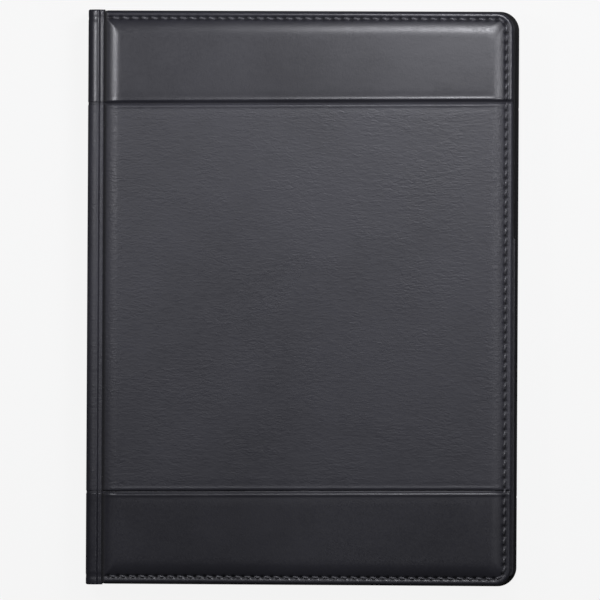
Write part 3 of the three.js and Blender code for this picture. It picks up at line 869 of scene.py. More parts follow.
def seam_ribbon(cover, which):
    """The narrow leather ribbon in a seam's channel, from the hinge over the padding to the turn-in."""
    tilt, hollow, thickness = 0.4, 0.25, 0.5
    xs = np.concatenate([steps(GROOVE_X, GROOVE_X + HINGE_ZONE, 0.5),
                         steps(GROOVE_X + HINGE_ZONE, cover.fore - 15, 1.5)[1:],
                         sorted(cover.fore - place for place in RIM_PLACES if place > 0.8)[1:]])
    far_from_seam = np.full(xs.shape, 50.0)
    top = padding_height(cover, xs, np.zeros_like(xs), far_from_seam, [])
    sink = 0.75 * np.minimum(cover.channel_depth, np.maximum(top - UNDERSIDE - 0.25, 0.35))
    line = np.array([*zip(xs, top - sink), *((cover.fore - inset, height) for inset, height in RIBBON_TAIL)])
    across = ribbon_offsets(0.3, 0.6, 0.86, 1)
    share = across / across[-1]
    rings = []
    for place, ((x, height), out) in enumerate(zip(line, normals(line))):
        y = float(seam_y(which, x, cover.up)) + across
        lift = which * tilt * share - hollow * (1 - share**2) if place < len(xs) else 0 * share
        face = np.column_stack([x + out[0] * lift, y, height + out[1] * lift])
        back_x, back_height = x - out[0] * thickness, height - out[1] * thickness
        back = np.column_stack([np.full(y.shape, back_x), y, np.full(y.shape, back_height)])
        rings.append(np.concatenate([face, back[::-1]]))
    points, faces = closed_sweep(rings)
    name = f"{cover.side}_leather_{SEAMS[which]}_seam_ribbon"
    piece = make_piece(name, cover.world(points), faces, "ribbon_leather")
    # Painted shade where the ribbon runs down the cover's wall
    set_attribute(piece, "painted_shade_mask", painted_wall_shade(np.array(points)[:, 2]))
    return piece


# Spine and folds


def fold_lines(cover):
    """Outer, inner and hemmed inner line of a fold's leather, in X and Z."""
    groove = GROOVE_X - cover.fold[0]
    drop = cover.thickness - GROOVE_HEIGHT
    skin = sizes()["skin"]
    bead = arc((BEAD_TOP, 0), (FOLD_RADIUS + BEAD_TOP, FOLD_RADIUS), 180, 90, 15)
    tail = [(x, FOLD_RADIUS - share * drop) for x, share in (*FOLD_TAIL, (groove - 0.3, 0.82), (groove, 1.0))]

    def inside(depth, sag, end_depth):
        """The line at a depth under the leather's face, which sags behind the bead."""
        bend = arc((0, 0), FOLD_RADIUS - depth, 180, 90, 10)
        return [*bend, (2.4, FOLD_RADIUS - depth - sag), (groove, FOLD_RADIUS - drop - end_depth)]

    sections = ([*bead, *tail], inside(skin, 1.0, skin), inside(HEM_THICKNESS, 0.9, 1.3))
    lines = [smooth_path(section, 64) for section in sections]
    return [line * (1, cover.up) + cover.fold[[0, 2]] for line in lines]


def spine_lines():
    """Outer, inner and hemmed inner line of the spine's flat back, slightly bowed out, in X and Z."""
    z = np.linspace(LOWER_FOLD[2], UPPER_FOLD[2], 24)
    bow = 0.3 * np.sin(np.pi * (z - z[0]) / (z[-1] - z[0])) ** 2
    depths = (-bow, sizes()["skin"], HEM_THICKNESS)
    return [np.column_stack([SPINE_FACE + depth + 0 * z, z]) for depth in depths]


def from_free_end(place, low, high, free):
    """Distance from a strip's nearest free end, or a long way where it has none."""
    return min(place - low if free[0] else 1e3, high - place if free[1] else 1e3)


def strip_rows(low, high, free):
    """Rows along spine leather as (place, fall, hem share), hemmed and rounded at its free ends."""
    round_off, lip_roll = 0.8, 0.5
    turned = [(round_off * (1 - math.cos(angle)), round_off * (1 - math.sin(angle)), 1.0)
              for angle in np.radians(range(0, 91, 18))]
    lipped = [(place, float(round_fall(place, lip_roll)), 0.0) for place in LIP_PLACES[:9]]
    low_end, high_end = (turned if is_free else lipped for is_free in free)
    rows = [(low + place, fall, hem) for place, fall, hem in low_end]
    for place in steps(low + low_end[-1][0], high - high_end[-1][0], 1.4)[1:-1]:
        past_hem = from_free_end(place, low, high, free) - HEM_REACH
        rows.append((place, 0.0, 1.0 - float(smoothstep(past_hem / 2))))
    return rows + [(high - place, fall, hem) for place, fall, hem in reversed(high_end)]


def leather_strip(name, lines, which, up):
    """A strip of leather along Y over the section lines: 1 and -1 are the bands, 0 the centre panel."""
    outer, inner, hem = lines
    half = sizes()["channel_width"] / 2
    free = (which < 0, which > 0)

    def low_edge(x):
        return -SPINE_END + 0 * x if free[0] else seam_y(1 if which else -1, x, up) + half

    def high_edge(x):
        return SPINE_END + 0 * x if free[1] else seam_y(-1 if which else 1, x, up) - half

    low, high = float(low_edge(outer[0, 0])), float(high_edge(outer[0, 0]))
    dent_depth, dent_spread, hem_sink, fold_rub, free_end_rub = 0.5, 0.38, 0.16, 0.12, 0.45
    inward = unit(inner - outer)
    facing = np.clip((outer[:, 0] - outer[:, 0].min()) / 1.5, 0.3, 1)[:, None]
    bend = np.linalg.norm(np.gradient(unit(np.gradient(outer, axis=0)), axis=0), axis=1)
    rub = fold_rub * bend / max(bend.max(), 1e-6)
    rings, wear = [], []
    for place, fall, hemmed in strip_rows(low, high, free):
        dent = 0.0
        if which:
            past = from_free_end(place, low, high, free) - HEM_LINE
            sunk_hem = hem_sink * (1 - smoothstep((past + 0.6) / 1.2))
            dent = dent_depth * bell(past, dent_spread) + sunk_hem
        shown = outer + inward * (fall + dent * facing)
        under = inner * (1 - hemmed) + hem * hemmed
        x, z = np.concatenate([shown, under[::-1]]).T
        share = (place - low) / (high - low)
        rings.append(np.column_stack([x, low_edge(x) * (1 - share) + high_edge(x) * share, z]))
        end_rub = free_end_rub if which and fall > 0.05 and hemmed > 0.5 else 0.0
        wear += [*np.maximum(rub, end_rub), *np.zeros(len(under))]
    points, faces = closed_sweep(rings)
    piece = make_piece(name, points, faces, leather_of(which)[0])
    set_attribute(piece, "wear", wear)
    return piece


def section_ribbon(name, lines, which, up):
    """A seam's ribbon along a section, sunk below the leather on both sides."""
    sink, back = 0.2, 0.8
    across = ribbon_offsets(0.6, 1)
    rings = []
    for point, into in zip(lines[0], unit(lines[1] - lines[0])):
        y = float(seam_y(which, point[0], up)) + across
        (x0, z0), (x1, z1) = point + into * sink, point + into * back
        rings.append([(x0, place, z0) for place in y] + [(x1, place, z1) for place in y[::-1]])
    return make_piece(name, *closed_sweep(rings), "ribbon_leather")


def bend_with(piece, cover):
    """Bakes a piece's placement into its mesh, the same way for either cover."""
    if cover.up > 0:
        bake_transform(piece)
    else:
        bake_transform(piece)


# Stitching and paper with Geometry Nodes


def node_group(name, entries):
    """A geometry node tree with named inputs, and its input sockets."""
    group = bpy.data.node_groups.new(name, "GeometryNodeTree")
    group.interface.new_socket("Geometry", in_out="INPUT", socket_type="NodeSocketGeometry")
    for label, kind in entries.items():
        group.interface.new_socket(label, in_out="INPUT", socket_type=f"NodeSocket{kind}")
    group.interface.new_socket("Geometry", in_out="OUTPUT", socket_type="NodeSocketGeometry")
    nodes = Nodes(group)
    return nodes, nodes.add("NodeGroupInput").outputs


@functools.cache
def stitch_group():
    """The node tree that lays arched stitches along a line."""
    group, given = node_group("stitch_run", {
        "Count": "Int", "Length": "Float", "Gauge": "Float", "Rise": "Float", "Dip": "Float", "Up": "Vector",
        "Slant": "Float", "Seed": "Int", "Material": "Material"})
    line = group.get("GeometryNodeMeshToCurve", {"Mesh": given["Geometry"]})
    places = group.get("GeometryNodeResampleCurve", {"Curve": line, "Count": given["Count"]}, mode="COUNT")
    half = group.times(given["Length"], 0.5)
    sunk = group.times(given["Dip"], -1.0)
    crest = group.maths("ADD", group.times(given["Rise"], 2.0), given["Dip"])
    arch = group.get("GeometryNodeCurveQuadraticBezier", {
        "Resolution": 6,
        "Start": group.get("ShaderNodeCombineXYZ", {"X": group.times(half, -1.0), "Z": sunk}),
        "Middle": group.get("ShaderNodeCombineXYZ", {"Z": crest}),
        "End": group.get("ShaderNodeCombineXYZ", {"X": half, "Z": sunk})})
    radius = group.times(given["Gauge"], 0.5)
    ring = group.get("GeometryNodeCurvePrimitiveCircle", {"Resolution": 6, "Radius": radius})
    stitch = group.get("GeometryNodeCurveToMesh", {"Curve": arch, "Profile Curve": ring, "Fill Caps": True})
    tangent = group.get("GeometryNodeInputTangent")
    level = group.get("FunctionNodeAlignRotationToVector", {"Vector": tangent}, axis="X")
    upright = group.get("FunctionNodeAlignRotationToVector", {
        "Rotation": level, "Vector": given["Up"]}, axis="Z", pivot_axis="X")
    random = group.add("FunctionNodeRandomValue", {
        2: group.maths("SUBTRACT", given["Slant"], 0.05), 3: group.maths("ADD", given["Slant"], 0.05),
        "Seed": given["Seed"]}, data_type="FLOAT")
    swing = group.get("FunctionNodeAxisAngleToRotation", {"Axis": (0, 0, 1), "Angle": random.outputs[1]})
    turned = group.get("FunctionNodeRotateRotation", {
        "Rotation": upright, "Rotate By": swing}, rotation_space="LOCAL")
    laid = group.get("GeometryNodeInstanceOnPoints", {
        "Points": places, "Instance": stitch, "Rotation": turned})
    real = group.get("GeometryNodeRealizeInstances", {"Geometry": laid})
    smooth = group.get("GeometryNodeSetShadeSmooth", {"Geometry": real})
    done = group.get("GeometryNodeSetMaterial", {"Geometry": smooth, "Material": given["Material"]})
    group.add("NodeGroupOutput", {"Geometry": done})
    return group.tree


def stack_group():
    """The node tree that piles bundles of sheets, each a little out of line."""
    group, given = node_group("paper_stack", {
        "Count": "Int", "Step": "Float", "Drift": "Float", "Seed": "Int", "Material": "Material"})
    climb = group.get("ShaderNodeCombineXYZ", {"Z": given["Step"]})
    places = group.get("GeometryNodeMeshLine", {"Count": given["Count"], "Offset": climb}, mode="OFFSET")
    drift = given["Drift"]
    back = group.times(drift, -1.0)
    random = group.get("FunctionNodeRandomValue", {
        0: group.get("ShaderNodeCombineXYZ", {"X": back, "Y": back}),
        1: group.get("ShaderNodeCombineXYZ", {"X": drift, "Y": drift}),
        "Seed": given["Seed"]}, data_type="FLOAT_VECTOR")
    moved = group.get("GeometryNodeSetPosition", {"Geometry": places, "Offset": random})
    piled = group.get("GeometryNodeInstanceOnPoints", {"Points": moved, "Instance": given["Geometry"]})
    real = group.get("GeometryNodeRealizeInstances", {"Geometry": piled})
    done = group.get("GeometryNodeSetMaterial", {"Geometry": real, "Material": given["Material"]})
    group.add("NodeGroupOutput", {"Geometry": done})
    return group.tree


def grown_piece(name, carrier, group, values):
    """Runs a node tree on a carrier object and keeps its result as a plain mesh piece."""
    modifier = carrier.modifiers.new("grow", "NODES")
    modifier.node_group = group
    for item in group.interface.items_tree:
        if item.item_type == "SOCKET" and item.in_out == "INPUT" and item.name in values:
            modifier[item.identifier] = values[item.name]
    depsgraph = bpy.context.evaluated_depsgraph_get()
    mesh = bpy.data.meshes.new_from_object(carrier.evaluated_get(depsgraph), depsgraph=depsgraph)
    mesh.name = name
    bpy.data.objects.remove(carrier)
    return link_object(name, mesh)


def stitch_line(name, path, up, pitch, gauge, fill=0.7, rise=0.42, dip=0.4, slant=0.06, seed=1):
    """A run of stitches along a path, one between each pair of needle holes."""
    length = path_length(path)
    count = int(round(length / pitch))
    real_pitch = length / count
    middles = along(path, (np.arange(count) + 0.5) * real_pitch) * MM
    mesh = bpy.data.meshes.new(f"{name}_line")
    mesh.from_pydata(middles.tolist(), [(i, i + 1) for i in range(count - 1)], [])
    return grown_piece(name, link_object(f"{name}_line", mesh), stitch_group(), {
        "Count": count, "Length": real_pitch * fill * MM, "Gauge": gauge * MM, "Rise": rise * MM,
        "Dip": dip * MM, "Up": up, "Slant": slant, "Seed": seed, "Material": material("thread")})


def level_line(path, z):
    """A path in X and Y, laid at a height."""
    return np.column_stack([path, np.full(len(path), z)])


def sew(name, path, z, up, body, seed):
    """A fine stitch run at a level height, riding on a body."""
    line = level_line(path, z)
    piece = stitch_line(name, line, (0, 0, up), FINE_PITCH, FINE_GAUGE, rise=0.14, dip=0.22, seed=seed)
    return settle(piece, body, "pocket")


# Soft pieces inside


def sheet_inset(x, y, bounds, radii):
    """Distance in from a rounded rectangle's edge; the radii go round from its low left corner."""
    x0, x1, y0, y1 = bounds
    from_side, from_end = np.minimum(x - x0, x1 - x), np.minimum(y - y0, y1 - y)
    left, low = x < (x0 + x1) / 2, y < (y0 + y1) / 2
    radius = np.where(low, np.where(left, radii[0], radii[1]), np.where(left, radii[3], radii[2]))
    rounded = radius - np.hypot(np.maximum(radius - from_side, 0), np.maximum(radius - from_end, 0))
    in_corner = (from_side < radius) & (from_end < radius)
    return np.where(in_corner, rounded, np.minimum(from_side, from_end))


def edge_places(length, radius, pitch, roll):
    """Places along a side, dense at its rolled ends and through its corners."""
    near = [share * roll for share in (0, 0.04, 0.15, 0.4, 0.7, 1, 1.6)]
    if radius > roll:
        near += [radius * (1 - math.sin(math.radians(turn))) for turn in range(84, 0, -7)] + [radius]
    near += [place for place in np.arange(1.6 * roll + 0.6, 6.0, 0.6) if place > radius]
    near = [place for place in near if place < 0.45 * length]
    plain = steps(max(near), length - max(near), pitch)
    return np.unique(np.round([*near, *plain, *(length - place for place in near)], 5))


def soft_sheet(name, box, finish, radii, pitch=2.4, lift=None, dents=(), shown=1):
    """A closed sheet with rolled edges. lift moves both faces, dents are holes in the shown face."""
    bounds, low, high = box
    x0, x1, y0, y1 = bounds
    roll = (high - low) / 2
    y = edge_places(y1 - y0, max(radii), pitch, roll) + y0
    shares = edge_places(x1 - x0, max(radii), pitch, roll) / (x1 - x0)
    is_low = y < (y0 + y1) / 2
    from_end = np.minimum(y - y0, y1 - y)
    start = x0 + round_fall(from_end, np.where(is_low, radii[0], radii[3]))
    end = x1 - round_fall(from_end, np.where(is_low, radii[1], radii[2]))
    x = start[:, None] + (end - start)[:, None] * shares[None, :]
    y = np.broadcast_to(y[:, None], x.shape)
    edges = (np.s_[0, :], np.s_[-1, :], np.s_[:, 0], np.s_[:, -1])

    inset = sheet_inset(x, y, bounds, radii)
    for edge in edges:
        inset[edge] = 0
    puff = roll - round_fall(inset, roll)
    middle = (low + high) / 2 + (lift(x, y) if lift else 0)
    sunk = np.minimum(0.25 * needle_dents(x, y, dents, 1.6, 0.4, np.add), puff * 0.8)
    top = middle + puff - (sunk if shown > 0 else 0)
    bottom = middle - puff + (sunk if shown < 0 else 0)
    points = np.concatenate([np.stack([x, y, z], -1).reshape(-1, 3) for z in (top, bottom)])

    upper, lower = np.arange(2 * x.size).reshape(2, *x.shape)
    for edge in edges:
        lower[edge] = upper[edge]
    quads = np.array(grid_faces(*x.shape))
    used, faces = np.unique(np.concatenate([quads, lower.ravel()[quads][:, ::-1]]), return_inverse=True)
    piece = make_piece(name, points[used], faces.reshape(-1, 4).tolist(), finish)
    wear = 0.3 * np.clip(1 - sheet_inset(points[used, 0], points[used, 1], bounds, radii) / 0.5, 0, 1)
    set_attribute(piece, "wear", wear)
    return piece


def box_of(node):
    """A node's bounds as (x0, x1, y0, y1), and its lowest and highest z."""
    low, high = span(node)
    return (low[0], high[0], low[1], high[1]), low[2], high[2]


def open_path(bounds, inset, corner):
    """A stitch line inside a sheet's left, bottom and right edges."""
    x0, x1, y0, y1 = bounds
    radius = max(corner - inset, 0.6)
    left, right, low = x0 + inset + radius, x1 - inset - radius, y0 + inset + radius
    return np.concatenate([
        [(x0 + inset, y1)], arc((left, low), radius, 180, 270, 9), arc((right, low), radius, 270, 360, 9),
        [(x1 - inset, y1)]])


def lining_turn(cover):
    """The lining's bend inside a fold, from the spine's lining to the cover's, in X and Z."""
    spine_x = span("spine_lining")[1][0] - CLOTH_HALF
    lining = (cover.inner - cover.fold[2]) * cover.up - CLOTH_HALF
    bend = ((spine_x, -1.6), (spine_x + 0.1, -0.6), (spine_x + 0.9, 0.15), (spine_x + 2.1, -0.15),
            (spine_x + 4.0, lining + 0.5), (GROOVE_X + 0.1, lining + 0.05), (GROOVE_X + 2.2, lining - 0.1))
    return smooth_path([(x, cover.fold[2] + cover.up * height) for x, height in bend], 36)


def cloth_strip(name, line, low, high, thickness):
    """A strip of lining cloth along Y that follows a section line."""
    across = normals(line) * thickness / 2
    section = np.concatenate([line + across, (line - across)[::-1]])
    rings = [[(x, y, z) for x, z in section] for y in steps(low, high, 4.0)]
    return make_piece(name, *closed_sweep(rings), "lining_cloth")


def elastic_loop():
    """The pen loop, a ribbed elastic strap round a bore, with its length round the loop and along the pen."""
    low, high = span("pen_loop")
    middle_x, middle_z = (low[0] + high[0]) / 2, (low[2] + high[2]) / 2
    strap, corner, rib_pitch, rib_depth = 0.9, 4.3, 1.5, 0.17

    def outline(inset):
        radius = corner - inset
        reach_x, reach_z = (high[0] - low[0]) / 2 - corner, (high[2] - low[2]) / 2 - corner
        quarters = ((reach_x, reach_z), (-reach_x, reach_z), (-reach_x, -reach_z), (reach_x, -reach_z))
        return np.concatenate([
            arc(place, radius, 90 * i, 90 * i + 90, 10, endpoint=False) for i, place in enumerate(quarters)])

    outside, inside, painted_rib_shading = [], [], []
    places = steps(low[1], high[1], rib_pitch / 6)
    for y in places:
        rib = abs(math.sin(math.pi * (y - low[1]) / rib_pitch))
        end_roll = max(0.0, 1 - min(y - low[1], high[1] - y) / 0.5) ** 2
        insets = (rib_depth * (1 - rib) + 0.35 * end_roll, strap - 0.15 * end_roll)
        for points, inset in zip((outside, inside), insets):
            points += [(middle_x + x, y, middle_z + z) for x, z in outline(inset)]
        painted_rib_shading.append(rib)
    total, count = len(outside), len(outside) // len(places)
    faces = tube_faces(len(places), count) + tube_faces(len(places), count, total)
    for base in (0, total - count):
        for i in range(count):
            j = (i + 1) % count
            faces.append((base + i, base + j, total + base + j, total + base + i))
    piece = make_piece("pen_loop_elastic", outside + inside, faces, "elastic")
    # The rib share stored here drives painted shade in the valleys between the ribs
    set_attribute(piece, "rib", np.tile(np.repeat(painted_rib_shading, count), 2))
    middle = outline(strap / 2)
    return piece, path_length([*middle, middle[0]]), high[1] - low[1]


def sheet_bundle(name, bounds, thickness, slope, finish, raised=0.0):
    """A bundle of sheets that lies on the panel and slopes down onto the backing past the panel's mouth."""
    x0, x1, y0, y1 = bounds
    mouth, slope_end, panel_top, backing_top = slope
    rings = []
    on_panel, sloping = steps(y0 + 1, mouth, 26), steps(mouth, slope_end, 0.8)
    for y in (y0, *on_panel, *sloping[1:], *steps(slope_end, y1, 30)[1:]):
        fall = float(smoothstep((y - mouth) / (slope_end - mouth)))
        z = panel_top + (backing_top - panel_top) * fall + raised
        rings.append([(x0, y, z), (x1, y, z), (x1, y, z + thickness), (x0, y, z + thickness)])
    return make_piece(name, *closed_sweep(rings), finish, crease=30.0)


# Operators, one for each group of pieces


def settle(piece, body, slot, *nodes):
    """Gives a piece its body and hides the CAD nodes that it stands for; the slot it is given is not used."""
    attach(piece, body)
    if nodes:
        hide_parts(*nodes)
    return piece


def finish_node(node, finish):
    """Gives a CAD node that stays in view its finish."""
    slots = frame["nodes"][node].data.materials
    slots.clear()
    slots.append(material(finish))


class PADFOLIO_OT_covers(bpy.types.Operator):
    """Make the padded leather of both covers, with its seams and needle holes"""

    bl_idname = "padfolio.covers"
    bl_label = "Padded covers"

    def execute(self, context):
        for cover in covers():
            _path, holes = cover_stitches(cover)
            for side, strip in STRIPS.items():
                piece = cover_strip(cover, side, holes)
                stood_for = [f"{cover.side}_{strip}"] + ([] if side else [f"{cover.side}_foam"])
                settle(piece, cover.body, leather_of(side)[1], *stood_for)
            for which, seam in SEAMS.items():
                settle(seam_ribbon(cover, which), cover.body, "ribbon", f"{cover.side}_{seam}_seam_ribbon")
        return {"FINISHED"}


class PADFOLIO_OT_spine(bpy.types.Operator):
    """Make the leather of the spine's back and of both folds"""

    bl_idname = "padfolio.spine"
    bl_label = "Spine and folds"

    def execute(self, context):
        lines = spine_lines()
        for which, strip in STRIPS.items():
            piece = leather_strip(f"spine_leather_{strip}", lines, which, 1)
            settle(piece, "spine", leather_of(which)[1], f"spine_{strip}")
        for which, seam in SEAMS.items():
            ribbon = section_ribbon(f"spine_leather_{seam}_seam_ribbon", lines, which, 1)
            settle(ribbon, "spine", "ribbon", f"spine_{seam}_seam_ribbon")
        for cover in covers():
            lines = fold_lines(cover)
            bent = []
            for which, strip in STRIPS.items():
                piece = leather_strip(f"{cover.side}_fold_leather_{strip}", lines, which, cover.up)
                # Painted shade on the fold's leather where it runs into the hinge groove
                from_groove = np.array([vertex.co.x for vertex in piece.data.vertices]) / MM - GROOVE_X
                set_attribute(piece, "painted_shade_mask", smoothstep((from_groove + 0.9) / 0.8))
                bent.append((piece, leather_of(which)[1]))
            for which, seam in SEAMS.items():
                ribbon = section_ribbon(f"{cover.side}_fold_{seam}_seam_ribbon", lines, which, cover.up)
                bent.append((ribbon, "ribbon"))
            for piece, slot in bent:
                bend_with(piece, cover)
        return {"FINISHED"}


class PADFOLIO_OT_cover_stitching(bpy.types.Operator):
    """Sew both covers along their head, fore and tail edges"""

    bl_idname = "padfolio.cover_stitching"
    bl_label = "Cover stitching"

    def execute(self, context):
        size = sizes()
        for cover in covers():
            line = cover.world(level_line(cover_stitches(cover)[0], VALLEY_HEIGHT + 0.12))
            piece = stitch_line(
                f"{cover.side}_cover_stitches", line, (0, 0, cover.up), size["stitch_pitch"],
                size["thread_gauge"], fill=0.54, rise=0.5, slant=-0.2, seed=3 + cover.up)
            settle(piece, cover.body, "skin_smooth")
        return {"FINISHED"}


class PADFOLIO_OT_linings(bpy.types.Operator):
    """Line the covers, the spine and the inside of the folds with woven cloth"""

    bl_idname = "padfolio.linings"
    bl_label = "Linings"

    def execute(self, context):
        spine_low, spine_high = span("spine_lining")
        for cover in covers():
            bounds = box_of(f"{cover.side}_lining")[0]
            low, high = sorted((cover.inner, cover.inner - cover.up * 2 * CLOTH_HALF))
            corner = cover.radius - 2.2
            radii = (0.6, corner, corner, 0.6)
            path, holes = cover_stitches(cover)
            sheet = soft_sheet(f"{cover.side}_lining_cloth", (bounds, low, high), "lining_cloth", radii, 3.0,
                               dents=holes, shown=-cover.up)
            settle(sheet, cover.body, "lining", f"{cover.side}_lining")
            line = level_line(path, cover.inner - cover.up * 0.42)
            sewn = stitch_line(
                f"{cover.side}_lining_stitches", line, (0, 0, -cover.up), sizes()["stitch_pitch"], 0.6,
                rise=0.16, dip=0.25, seed=21)
            settle(sewn, cover.body, "lining")
            low_y, high_y = bounds[2] + 1.0, bounds[3] - 1.0
            bend = lining_turn(cover)
            turn = cloth_strip(f"{cover.side}_fold_lining_cloth", bend, low_y, high_y, 0.4)
            bend_with(turn, cover)
        z = np.linspace(spine_low[2], spine_high[2], 20)
        line = np.column_stack([np.full(z.shape, (spine_low[0] + spine_high[0]) / 2), z])
        thickness, length, width = spine_high - spine_low
        back = cloth_strip("spine_lining_cloth", line, spine_low[1], spine_high[1], thickness)
        settle(back, "spine", "lining", "spine_lining")
        return {"FINISHED"}


class PADFOLIO_OT_pockets(bpy.types.Operator):
    """Make the document pocket and the two card pockets in the front cover"""

    bl_idname = "padfolio.pockets"
    bl_label = "Pockets"

    def execute(self, context):
        box = box_of("document_pocket")
        bounds, low, _high = box
        corner = 6.0
        radii = (1, corner, 1, 1)

        def slack(x, y):
            """How far the pocket bulges towards the middle of its mouth."""
            mouth = np.clip((y - bounds[2]) / (bounds[3] - bounds[2]), 0, 1)
            middle = np.sin(np.pi * np.clip((x - bounds[0]) / (bounds[1] - bounds[0]), 0, 1))
            return -0.28 * mouth**3 * middle

        path = open_path(bounds, 1.8, corner)
        sheet = soft_sheet("document_pocket_leather", box, "pocket_leather", radii, lift=slack,
                           dents=needle_holes(path, FINE_PITCH), shown=-1)
        settle(sheet, "front_cover", "pocket", "document_pocket")
        sew("document_pocket_stitches", path, low + 0.05, -1, "front_cover", seed=31)
        bound, bound_low, bound_high = box_of("document_pocket_binding")
        over_mouth = ((*bound[:3], bound[3] + 0.3), bound_low - 0.05, bound_high + 0.45)
        edge = soft_sheet("document_pocket_mouth_binding", over_mouth, "pocket_leather", [0.4] * 4,
                          lift=slack, shown=-1)
        settle(edge, "front_cover", "pocket", "document_pocket_binding")

        for which, seed in (("upper", 41), ("lower", 51)):
            name = f"{which}_card_pocket"
            box = box_of(name)
            x0, x1, _y0, y1 = box[0]
            radii = (2.5, 2.5, 0.8, 0.8)
            path = open_path(box[0], 1.5, 2.5)
            mouth = np.array([(x0 + 1.5, y1 - 3.0), (x1 - 1.5, y1 - 3.0)])
            holes = np.concatenate([needle_holes(path, FINE_PITCH), needle_holes(mouth, FINE_PITCH)])
            card = soft_sheet(f"{name}_leather", box, "pocket_leather", radii, 2.2, dents=holes, shown=-1)
            settle(card, "front_cover", "pocket", name)
            sew(f"{name}_stitches", path, box[1] + 0.05, -1, "front_cover", seed=seed)
            sew(f"{name}_mouth_stitches", mouth, box[1] + 0.05, -1, "front_cover", seed=seed + 5)
        return {"FINISHED"}


class PADFOLIO_OT_pen_loop(bpy.types.Operator):
    """Make the ribbed elastic pen loop"""

    bl_idname = "padfolio.pen_loop"
    bl_label = "Pen loop"

    def execute(self, context):
        piece, wrap, length = elastic_loop()
        settle(piece, "spine", "elastic", "pen_loop")
        return {"FINISHED"}


class PADFOLIO_OT_pad_panel(bpy.types.Operator):
    """Make the panel that holds the pad, with its hems, mouth binding and stitching"""

    bl_idname = "padfolio.pad_panel"
    bl_label = "Pad panel"

    def execute(self, context):
        box = box_of("pad_panel")
        radii = (3, 3, 1, 1)
        path = open_path(box[0], 1.7, 3.0)
        dents = needle_holes(path, FINE_PITCH)
        sheet = soft_sheet("pad_panel_leather", box, "pocket_leather", radii, dents=dents)
        settle(sheet, "back_cover", "pocket", "pad_panel")
        sew("pad_panel_stitches", path, box[2] - 0.05, 1, "back_cover", seed=61)
        for node, name, radius in (
            ("pad_panel_left_hem", "pad_panel_left_hem_leather", 0.9),
            ("pad_panel_right_hem", "pad_panel_right_hem_leather", 0.9),
            ("pad_panel_bottom_hem", "pad_panel_bottom_hem_leather", 0.9),
            ("pad_panel_binding", "pad_panel_mouth_binding", 0.5),
        ):
            edge = soft_sheet(name, box_of(node), "pocket_leather", [radius] * 4)
            settle(edge, "back_cover", "pocket", node)
        return {"FINISHED"}


class PADFOLIO_OT_writing_pad(bpy.types.Operator):
    """Pile the writing pad's sheets, with its ruled top sheet, tape and backing"""

    bl_idname = "padfolio.writing_pad"
    bl_label = "Writing pad"

    def execute(self, context):
        clearance, slope_length, sheet_thickness, bundles = 0.3, 8.0, 0.2, 12
        panel_top = span("pad_panel")[1][2] + clearance
        mouth = span("pad_panel")[1][1] + clearance
        slope = (mouth, mouth + slope_length, panel_top, span("pad_backing")[1][2])
        stack = span("pad_top_sheet")[1][2] - sheet_thickness - panel_top
        step = stack / bundles
        carrier = sheet_bundle("paper_bundle", box_of("pad_sheets")[0], step * 0.94, slope, "paper_edges")
        pile = grown_piece("writing_pad_sheets", carrier, stack_group(), {
            "Count": bundles, "Step": step * MM, "Drift": 0.12 * MM, "Seed": 7,
            "Material": material("paper_edges")})
        settle(pile, "writing_pad", "paper", "pad_sheets")
        top_bounds = box_of("pad_top_sheet")[0]
        top = sheet_bundle("writing_pad_top_sheet", top_bounds, sheet_thickness, slope, "ruled_paper", stack)
        settle(top, "writing_pad", "paper", "pad_top_sheet")
        finish_node("pad_backing", "chipboard")
        finish_node("pad_binding", "tape")
        return {"FINISHED"}


class PADFOLIO_OT_boards(bpy.types.Operator):
    """Finish the greyboards that stiffen the covers and the spine"""

    bl_idname = "padfolio.boards"
    bl_label = "Boards"

    def execute(self, context):
        for node in ("front_board", "back_board", "spine_board"):
            finish_node(node, "greyboard")
        return {"FINISHED"}


class PADFOLIO_OT_stage(bpy.types.Operator):
    """Set up the floor, the studio light and the camera"""

    bl_idname = "padfolio.stage"
    bl_label = "Stage"

    def execute(self, context):
        reach = 6.0
        corners = [(-reach, -reach, 0), (reach, -reach, 0), (reach, reach, 0), (-reach, reach, 0)]
        mesh = bpy.data.meshes.new("floor")
        mesh.from_pydata(corners, [], [(0, 1, 2, 3)])
        mesh.materials.append(floor_paint())
        link_object("floor", mesh)
        light_world(context.scene)
        for lamp in (
            ("soft_box", (0.10, 0.285, 0.41), (0.05, 0.1, 0.0), 0.14, 0.10, 1.4),
            ("overhead", (-0.02, 0.08, 0.90), (0.0, 0.08, 0.0), 0.2, 0.1, 0.17),
            ("spine_light", (-0.36, 0.18, 0.50), (-0.1, 0.1, 0.0), 0.1, 0.1, 1.2),
            ("fore_light", (0.45, 0.14, 0.70), (0.1, 0.1, 0.0), 0.1, 0.3, 1.6),
        ):
            hang_lamp(*lamp)
        context.scene.camera = aim_camera()
        context.scene.view_settings.view_transform = "Standard"
        return {"FINISHED"}


def floor_paint():
    """The floor's paint: pale and glowing to the camera, dark to the object's own reflections."""
    look = Finish("studio_floor", Roughness=0.9)
    seen = look.get("ShaderNodeLightPath")
    look.drive("Base Color", look.mixed(seen, shaded(colour("floor"), 0.12), shaded(colour("floor"), 0.5)))
    glow = look.get("ShaderNodeEmission", {"Color": colour("floor"), "Strength": 1.08})
    joined = look.get("ShaderNodeMixShader", {0: look.times(seen, 0.9), 1: look.shader.outputs[0], 2: glow})
    look.tree.links.new(joined, look.tree.nodes["Material Output"].inputs["Surface"])
    return look.material


def light_world(scene):
    """A dim white sky that grows brighter towards its top."""
    scene.world = scene.world or bpy.data.worlds.new("studio")
    scene.world.use_nodes = True
    nodes = Nodes(scene.world.node_tree)
    sky = nodes.tree.nodes["Background"]
    sky.inputs["Color"].default_value = (1.0, 1.0, 1.0, 1.0)
    aim = nodes.add("ShaderNodeTexCoord").outputs["Generated"]
    height = nodes.add("ShaderNodeSeparateXYZ", {"Vector": aim}).outputs["Z"]
    nodes.tree.links.new(nodes.ramp(height, 0.0, 0.9, 0.02, 0.065), sky.inputs["Strength"])


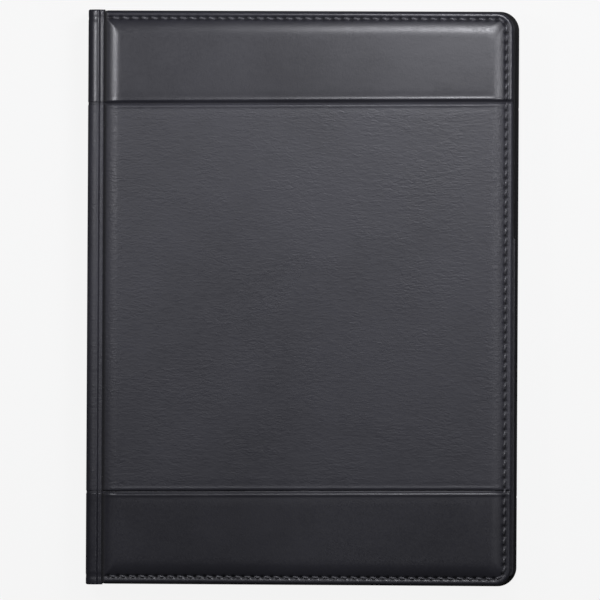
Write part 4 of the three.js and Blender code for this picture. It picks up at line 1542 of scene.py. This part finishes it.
def hang_lamp(name, place, aim, width, depth, power):
    """An area lamp that points at a place, in metres and watts."""
    light = bpy.data.lights.new(name, "AREA")
    light.shape = "RECTANGLE"
    light.size, light.size_y, light.energy = width, depth, power
    light.color = (0.95, 0.95, 1.0)
    lamp = link_object(name, light)
    lamp.location = place
    lamp.rotation_euler = (Vector(aim) - Vector(place)).to_track_quat("-Z", "Y").to_euler()


def aim_camera():
    """A camera at the photograph's angle, with its distance and view in metres."""
    distance, view_width = 5.0, 0.3309
    target = Vector((-0.0014, -0.0011, 0.012))
    turn = Euler((0.0, math.radians(2.8), math.radians(0.3)))
    lens = bpy.data.cameras.new("camera")
    lens.sensor_width = 36.0
    lens.lens = lens.sensor_width * distance / view_width
    lens.clip_end = 50.0
    camera = link_object("camera", lens)
    camera.location = target + turn.to_matrix() @ Vector((0.0, 0.0, distance))
    camera.rotation_euler = turn
    return camera


class PADFOLIO_PT_panel(bpy.types.Panel):
    """Lists the padfolio's sizes, colours and build steps"""

    bl_label = "Padfolio"
    bl_idname = "PADFOLIO_PT_panel"
    bl_space_type = "VIEW_3D"
    bl_region_type = "UI"
    bl_category = "Padfolio"

    def draw(self, context):
        for group in (context.scene.padfolio_sizes, context.scene.padfolio_colours):
            box = self.layout.box()
            for key in type(group).__annotations__:
                box.prop(group, key)
        for operator in OPERATORS:
            self.layout.operator(operator.bl_idname)


OPERATORS = (
    PADFOLIO_OT_covers,
    PADFOLIO_OT_spine,
    PADFOLIO_OT_cover_stitching,
    PADFOLIO_OT_linings,
    PADFOLIO_OT_pockets,
    PADFOLIO_OT_pen_loop,
    PADFOLIO_OT_pad_panel,
    PADFOLIO_OT_writing_pad,
    PADFOLIO_OT_boards,
    PADFOLIO_OT_stage,
)
CLASSES = (PadfolioSizes, PadfolioColours, *OPERATORS, PADFOLIO_PT_panel)


def register():
    """Registers the classes and their settings."""
    for cls in CLASSES:
        bpy.utils.register_class(cls)
    bpy.types.Scene.padfolio_sizes = bpy.props.PointerProperty(type=PadfolioSizes)
    bpy.types.Scene.padfolio_colours = bpy.props.PointerProperty(type=PadfolioColours)


def unregister():
    """Removes the settings and the classes."""
    del bpy.types.Scene.padfolio_colours
    del bpy.types.Scene.padfolio_sizes
    for cls in reversed(CLASSES):
        bpy.utils.unregister_class(cls)


def main():
    """Runs the build steps in order."""
    register()
    for operator in OPERATORS:
        group, name = operator.bl_idname.split(".")
        getattr(getattr(bpy.ops, group), name)()


if __name__ == "__main__":
    main()
